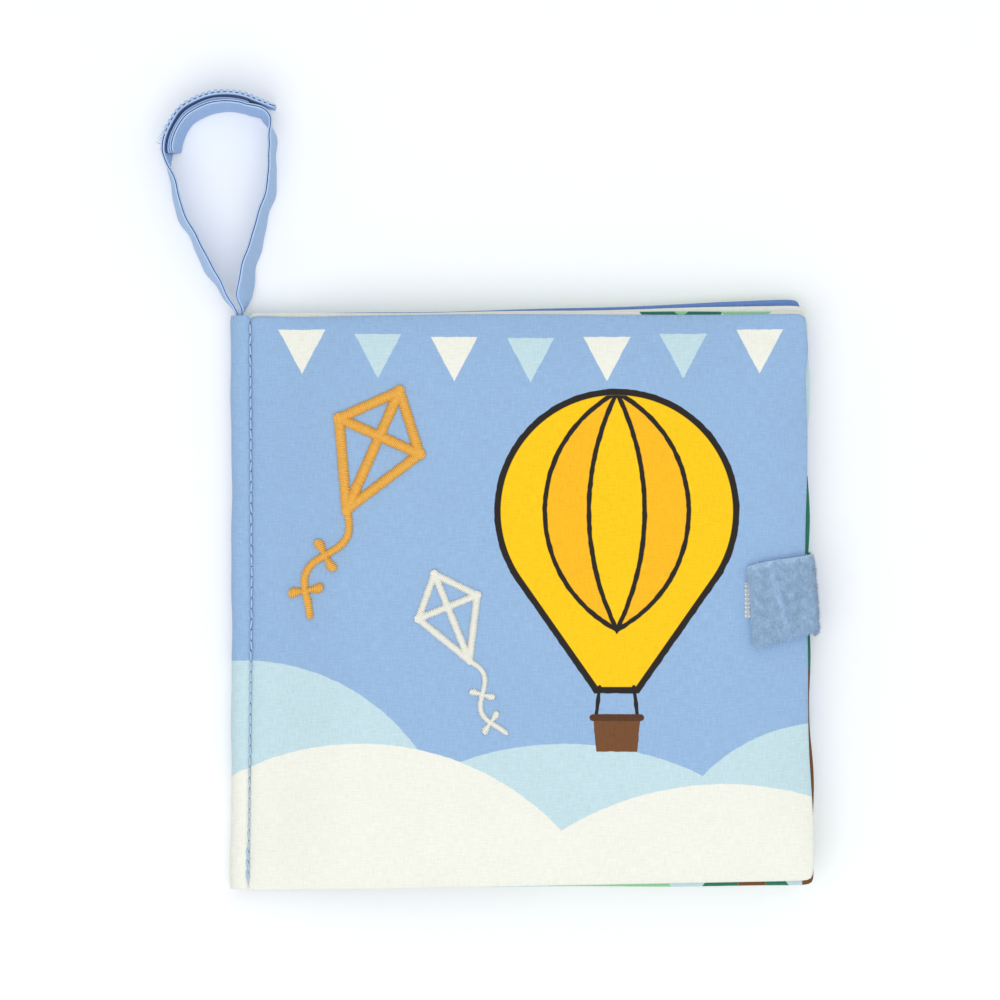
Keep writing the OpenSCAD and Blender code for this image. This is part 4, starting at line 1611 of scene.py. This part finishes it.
def satin(name, strokes, finish, arch):
    """Each stroke is a line of places and the half width at each of them."""
    frames = []
    for points, halves in strokes:
        length = evenly(points, 2)[1]
        count = max(int(length / SATIN_PITCH), 2)
        stops, _ = evenly(np.column_stack([points, halves]), count)
        walked = np.linspace(0, length, count)
        from_end = np.minimum(walked, length - walked) + SATIN_END * stops[:, 2]
        stops[:, 2] *= np.sqrt(1 - np.clip(1 - from_end / stops[:, 2], 0, 1) ** 2)
        heads = unit(np.gradient(stops[:, :2], axis=0))
        for (x, y, half), (hx, hy) in zip(stops, heads):
            across = np.array([-hy + hx * SATIN_SLANT, hx + hy * SATIN_SLANT])
            reach = half * (1 + rng.normal(0, SATIN_UNEVEN[0]))
            ends = [np.array([x, y]) + across * side * reach for side in (-1, 1)]
            low, high = [np.array([*end, cover_height(*end)]) for end in ends]
            along = (high - low) / 2
            up = unit(np.cross(along, np.array([hx, hy, 0.0])))
            up = up * np.sign(up[2])
            side = unit(np.cross(up, along))
            place = (low + high) / 2 + up * SATIN_LIFT
            height = SATIN_R * (1 + rng.normal(0, SATIN_UNEVEN[1]))
            frames.append((place, [along, side * SATIN_R, up * height]))
    return copies(name, thread_model(arch), frames, finish)


def kite(name, node, cross, degrees, size, width, finish):
    """Kite of satin strokes: its frame and crossed sticks, and a swaying tail with bows."""
    turn = math.radians(degrees)
    spin = np.array([[math.cos(turn), math.sin(turn)], [-math.sin(turn), math.cos(turn)]])

    def on_kite(points):
        return np.array(points, float) @ spin + np.array(cross)

    head, right, foot, left = [np.array([across * size, up * size]) for across, up in CROSS_CORNERS]
    sticks = [(head, foot), (left, right)]
    sides = [(head, right), (right, foot), (foot, left), (left, head)]
    steps = np.linspace(0, 1, TAIL_STOPS)
    tail_l = TAIL_L * size - TAIL_EXTRA * width * foot[1] / size
    sway = TAIL_SWAY * size * np.sin(np.radians(TAIL_TURNS * steps))
    tail = np.column_stack([sway, foot[1] - tail_l * steps])
    strokes = [(on_kite(tail), np.full(TAIL_STOPS, width / 3))]
    for a, b in sticks + sides:
        past = FRAME_PAST * width / np.linalg.norm(b - a)
        shares = np.linspace(-past, 1 + past, STROKE_STOPS)[:, None]
        halves = np.full(STROKE_STOPS, width * FRAME_HALF)
        strokes.append((on_kite(a + (b - a) * shares), halves))
    for spot in BOW_SPOTS:
        i = int(spot * (TAIL_STOPS - 1))
        heading = unit(tail[i + 1] - tail[i - 1])
        lobes = np.linspace(-1, 1, BOW_STOPS)
        reach = BOW_REACH * size + width / 3
        points = tail[i] + lobes[:, None] * reach * np.array([-heading[1], heading[0]])
        strokes.append((on_kite(points), width * (BOW_HALF[0] + BOW_HALF[1] * abs(lobes))))
    piece = satin(name, strokes, finish, SATIN_RISE * width / SATIN_R)
    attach(piece, "front_cover")
    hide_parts(node)


THREAD_W = 3.7
KITE_L = 38.0
SMALL_KITE = 0.72
GOLD_CROSS = (SEAM_X + 38, TAIL_Y + 132)
CREAM_CROSS = (SEAM_X + 58, TAIL_Y + 82)
GOLD_TURN = -24
CREAM_TURN = 22
kite(
    "kite_gold_satin", "kite_gold", GOLD_CROSS, GOLD_TURN, KITE_L, THREAD_W,
    GOLD_YARN
)
kite(
    "kite_cream_satin", "kite_cream", CREAM_CROSS, CREAM_TURN, KITE_L * SMALL_KITE,
    THREAD_W * SMALL_KITE, CREAM_YARN
)


# Camera and studio

PHOTO_PX = 1000
MM_PER_PX = 0.293
PHOTO_MIDDLE = (-6.2, 29.3)
CAMERA_UP = 2.5
CAMERA_AIM = 0.019
SENSOR_MM = 36

camera_data = bpy.data.cameras.new("camera")
camera = bpy.data.objects.new("camera", camera_data)
bpy.context.scene.collection.objects.link(camera)
camera.location = (PHOTO_MIDDLE[0] * MM, PHOTO_MIDDLE[1] * MM, CAMERA_UP)
camera_data.sensor_width = SENSOR_MM
camera_data.lens = SENSOR_MM * (CAMERA_UP - CAMERA_AIM) / (PHOTO_PX * MM_PER_PX * MM)
camera_data.clip_start = 0.05
bpy.context.scene.camera = camera


def lamp(name, size, power, place):
    """Round soft light that looks at the middle of the book."""
    deselect()
    bpy.ops.object.light_add(type="AREA", location=place)
    light = bpy.context.object
    light.name = name
    light.data.shape = "DISK"
    light.data.size = size
    light.data.energy = power
    light.rotation_euler = Vector(place).to_track_quat("Z", "Y").to_euler()


lamp("key light", 1.4, 8.5, (-0.2, -0.45, 1.4))
lamp("fill light", 1.6, 4.0, (0.35, 0.25, 1.5))

STUDIO_WHITE = (0.94, 0.97, 1.0, 1.0)
STUDIO_LIGHT = 0.63
FLOOR_SIZE = 8
FLOOR_DROP = 0.0002
FLOOR_GLOW = 0.15

world = bpy.data.worlds.new("studio")
bpy.context.scene.world = world
world.use_nodes = True
background = world.node_tree.nodes["Background"]
background.inputs["Color"].default_value = STUDIO_WHITE
background.inputs["Strength"].default_value = STUDIO_LIGHT

deselect()
bpy.ops.mesh.primitive_plane_add(size=FLOOR_SIZE, location=(0, 0, -FLOOR_DROP))
floor = named("floor")
take(floor)
bpy.ops.object.transform_apply(location=True)
paper = Finish("white paper")
by_camera = paper.node("ShaderNodeLightPath", {}, out="Is Camera Ray")
paper.set(
    Base_Color=PAPER_WHITE,
    Roughness=0.95,
    Emission_Color=paper.mix(by_camera, (0, 0, 0, 1), (1, 1, 1, 1)),
    Emission_Strength=FLOOR_GLOW
)
floor.data.materials.append(paper.material)

bpy.context.scene.view_settings.view_transform = "Standard"
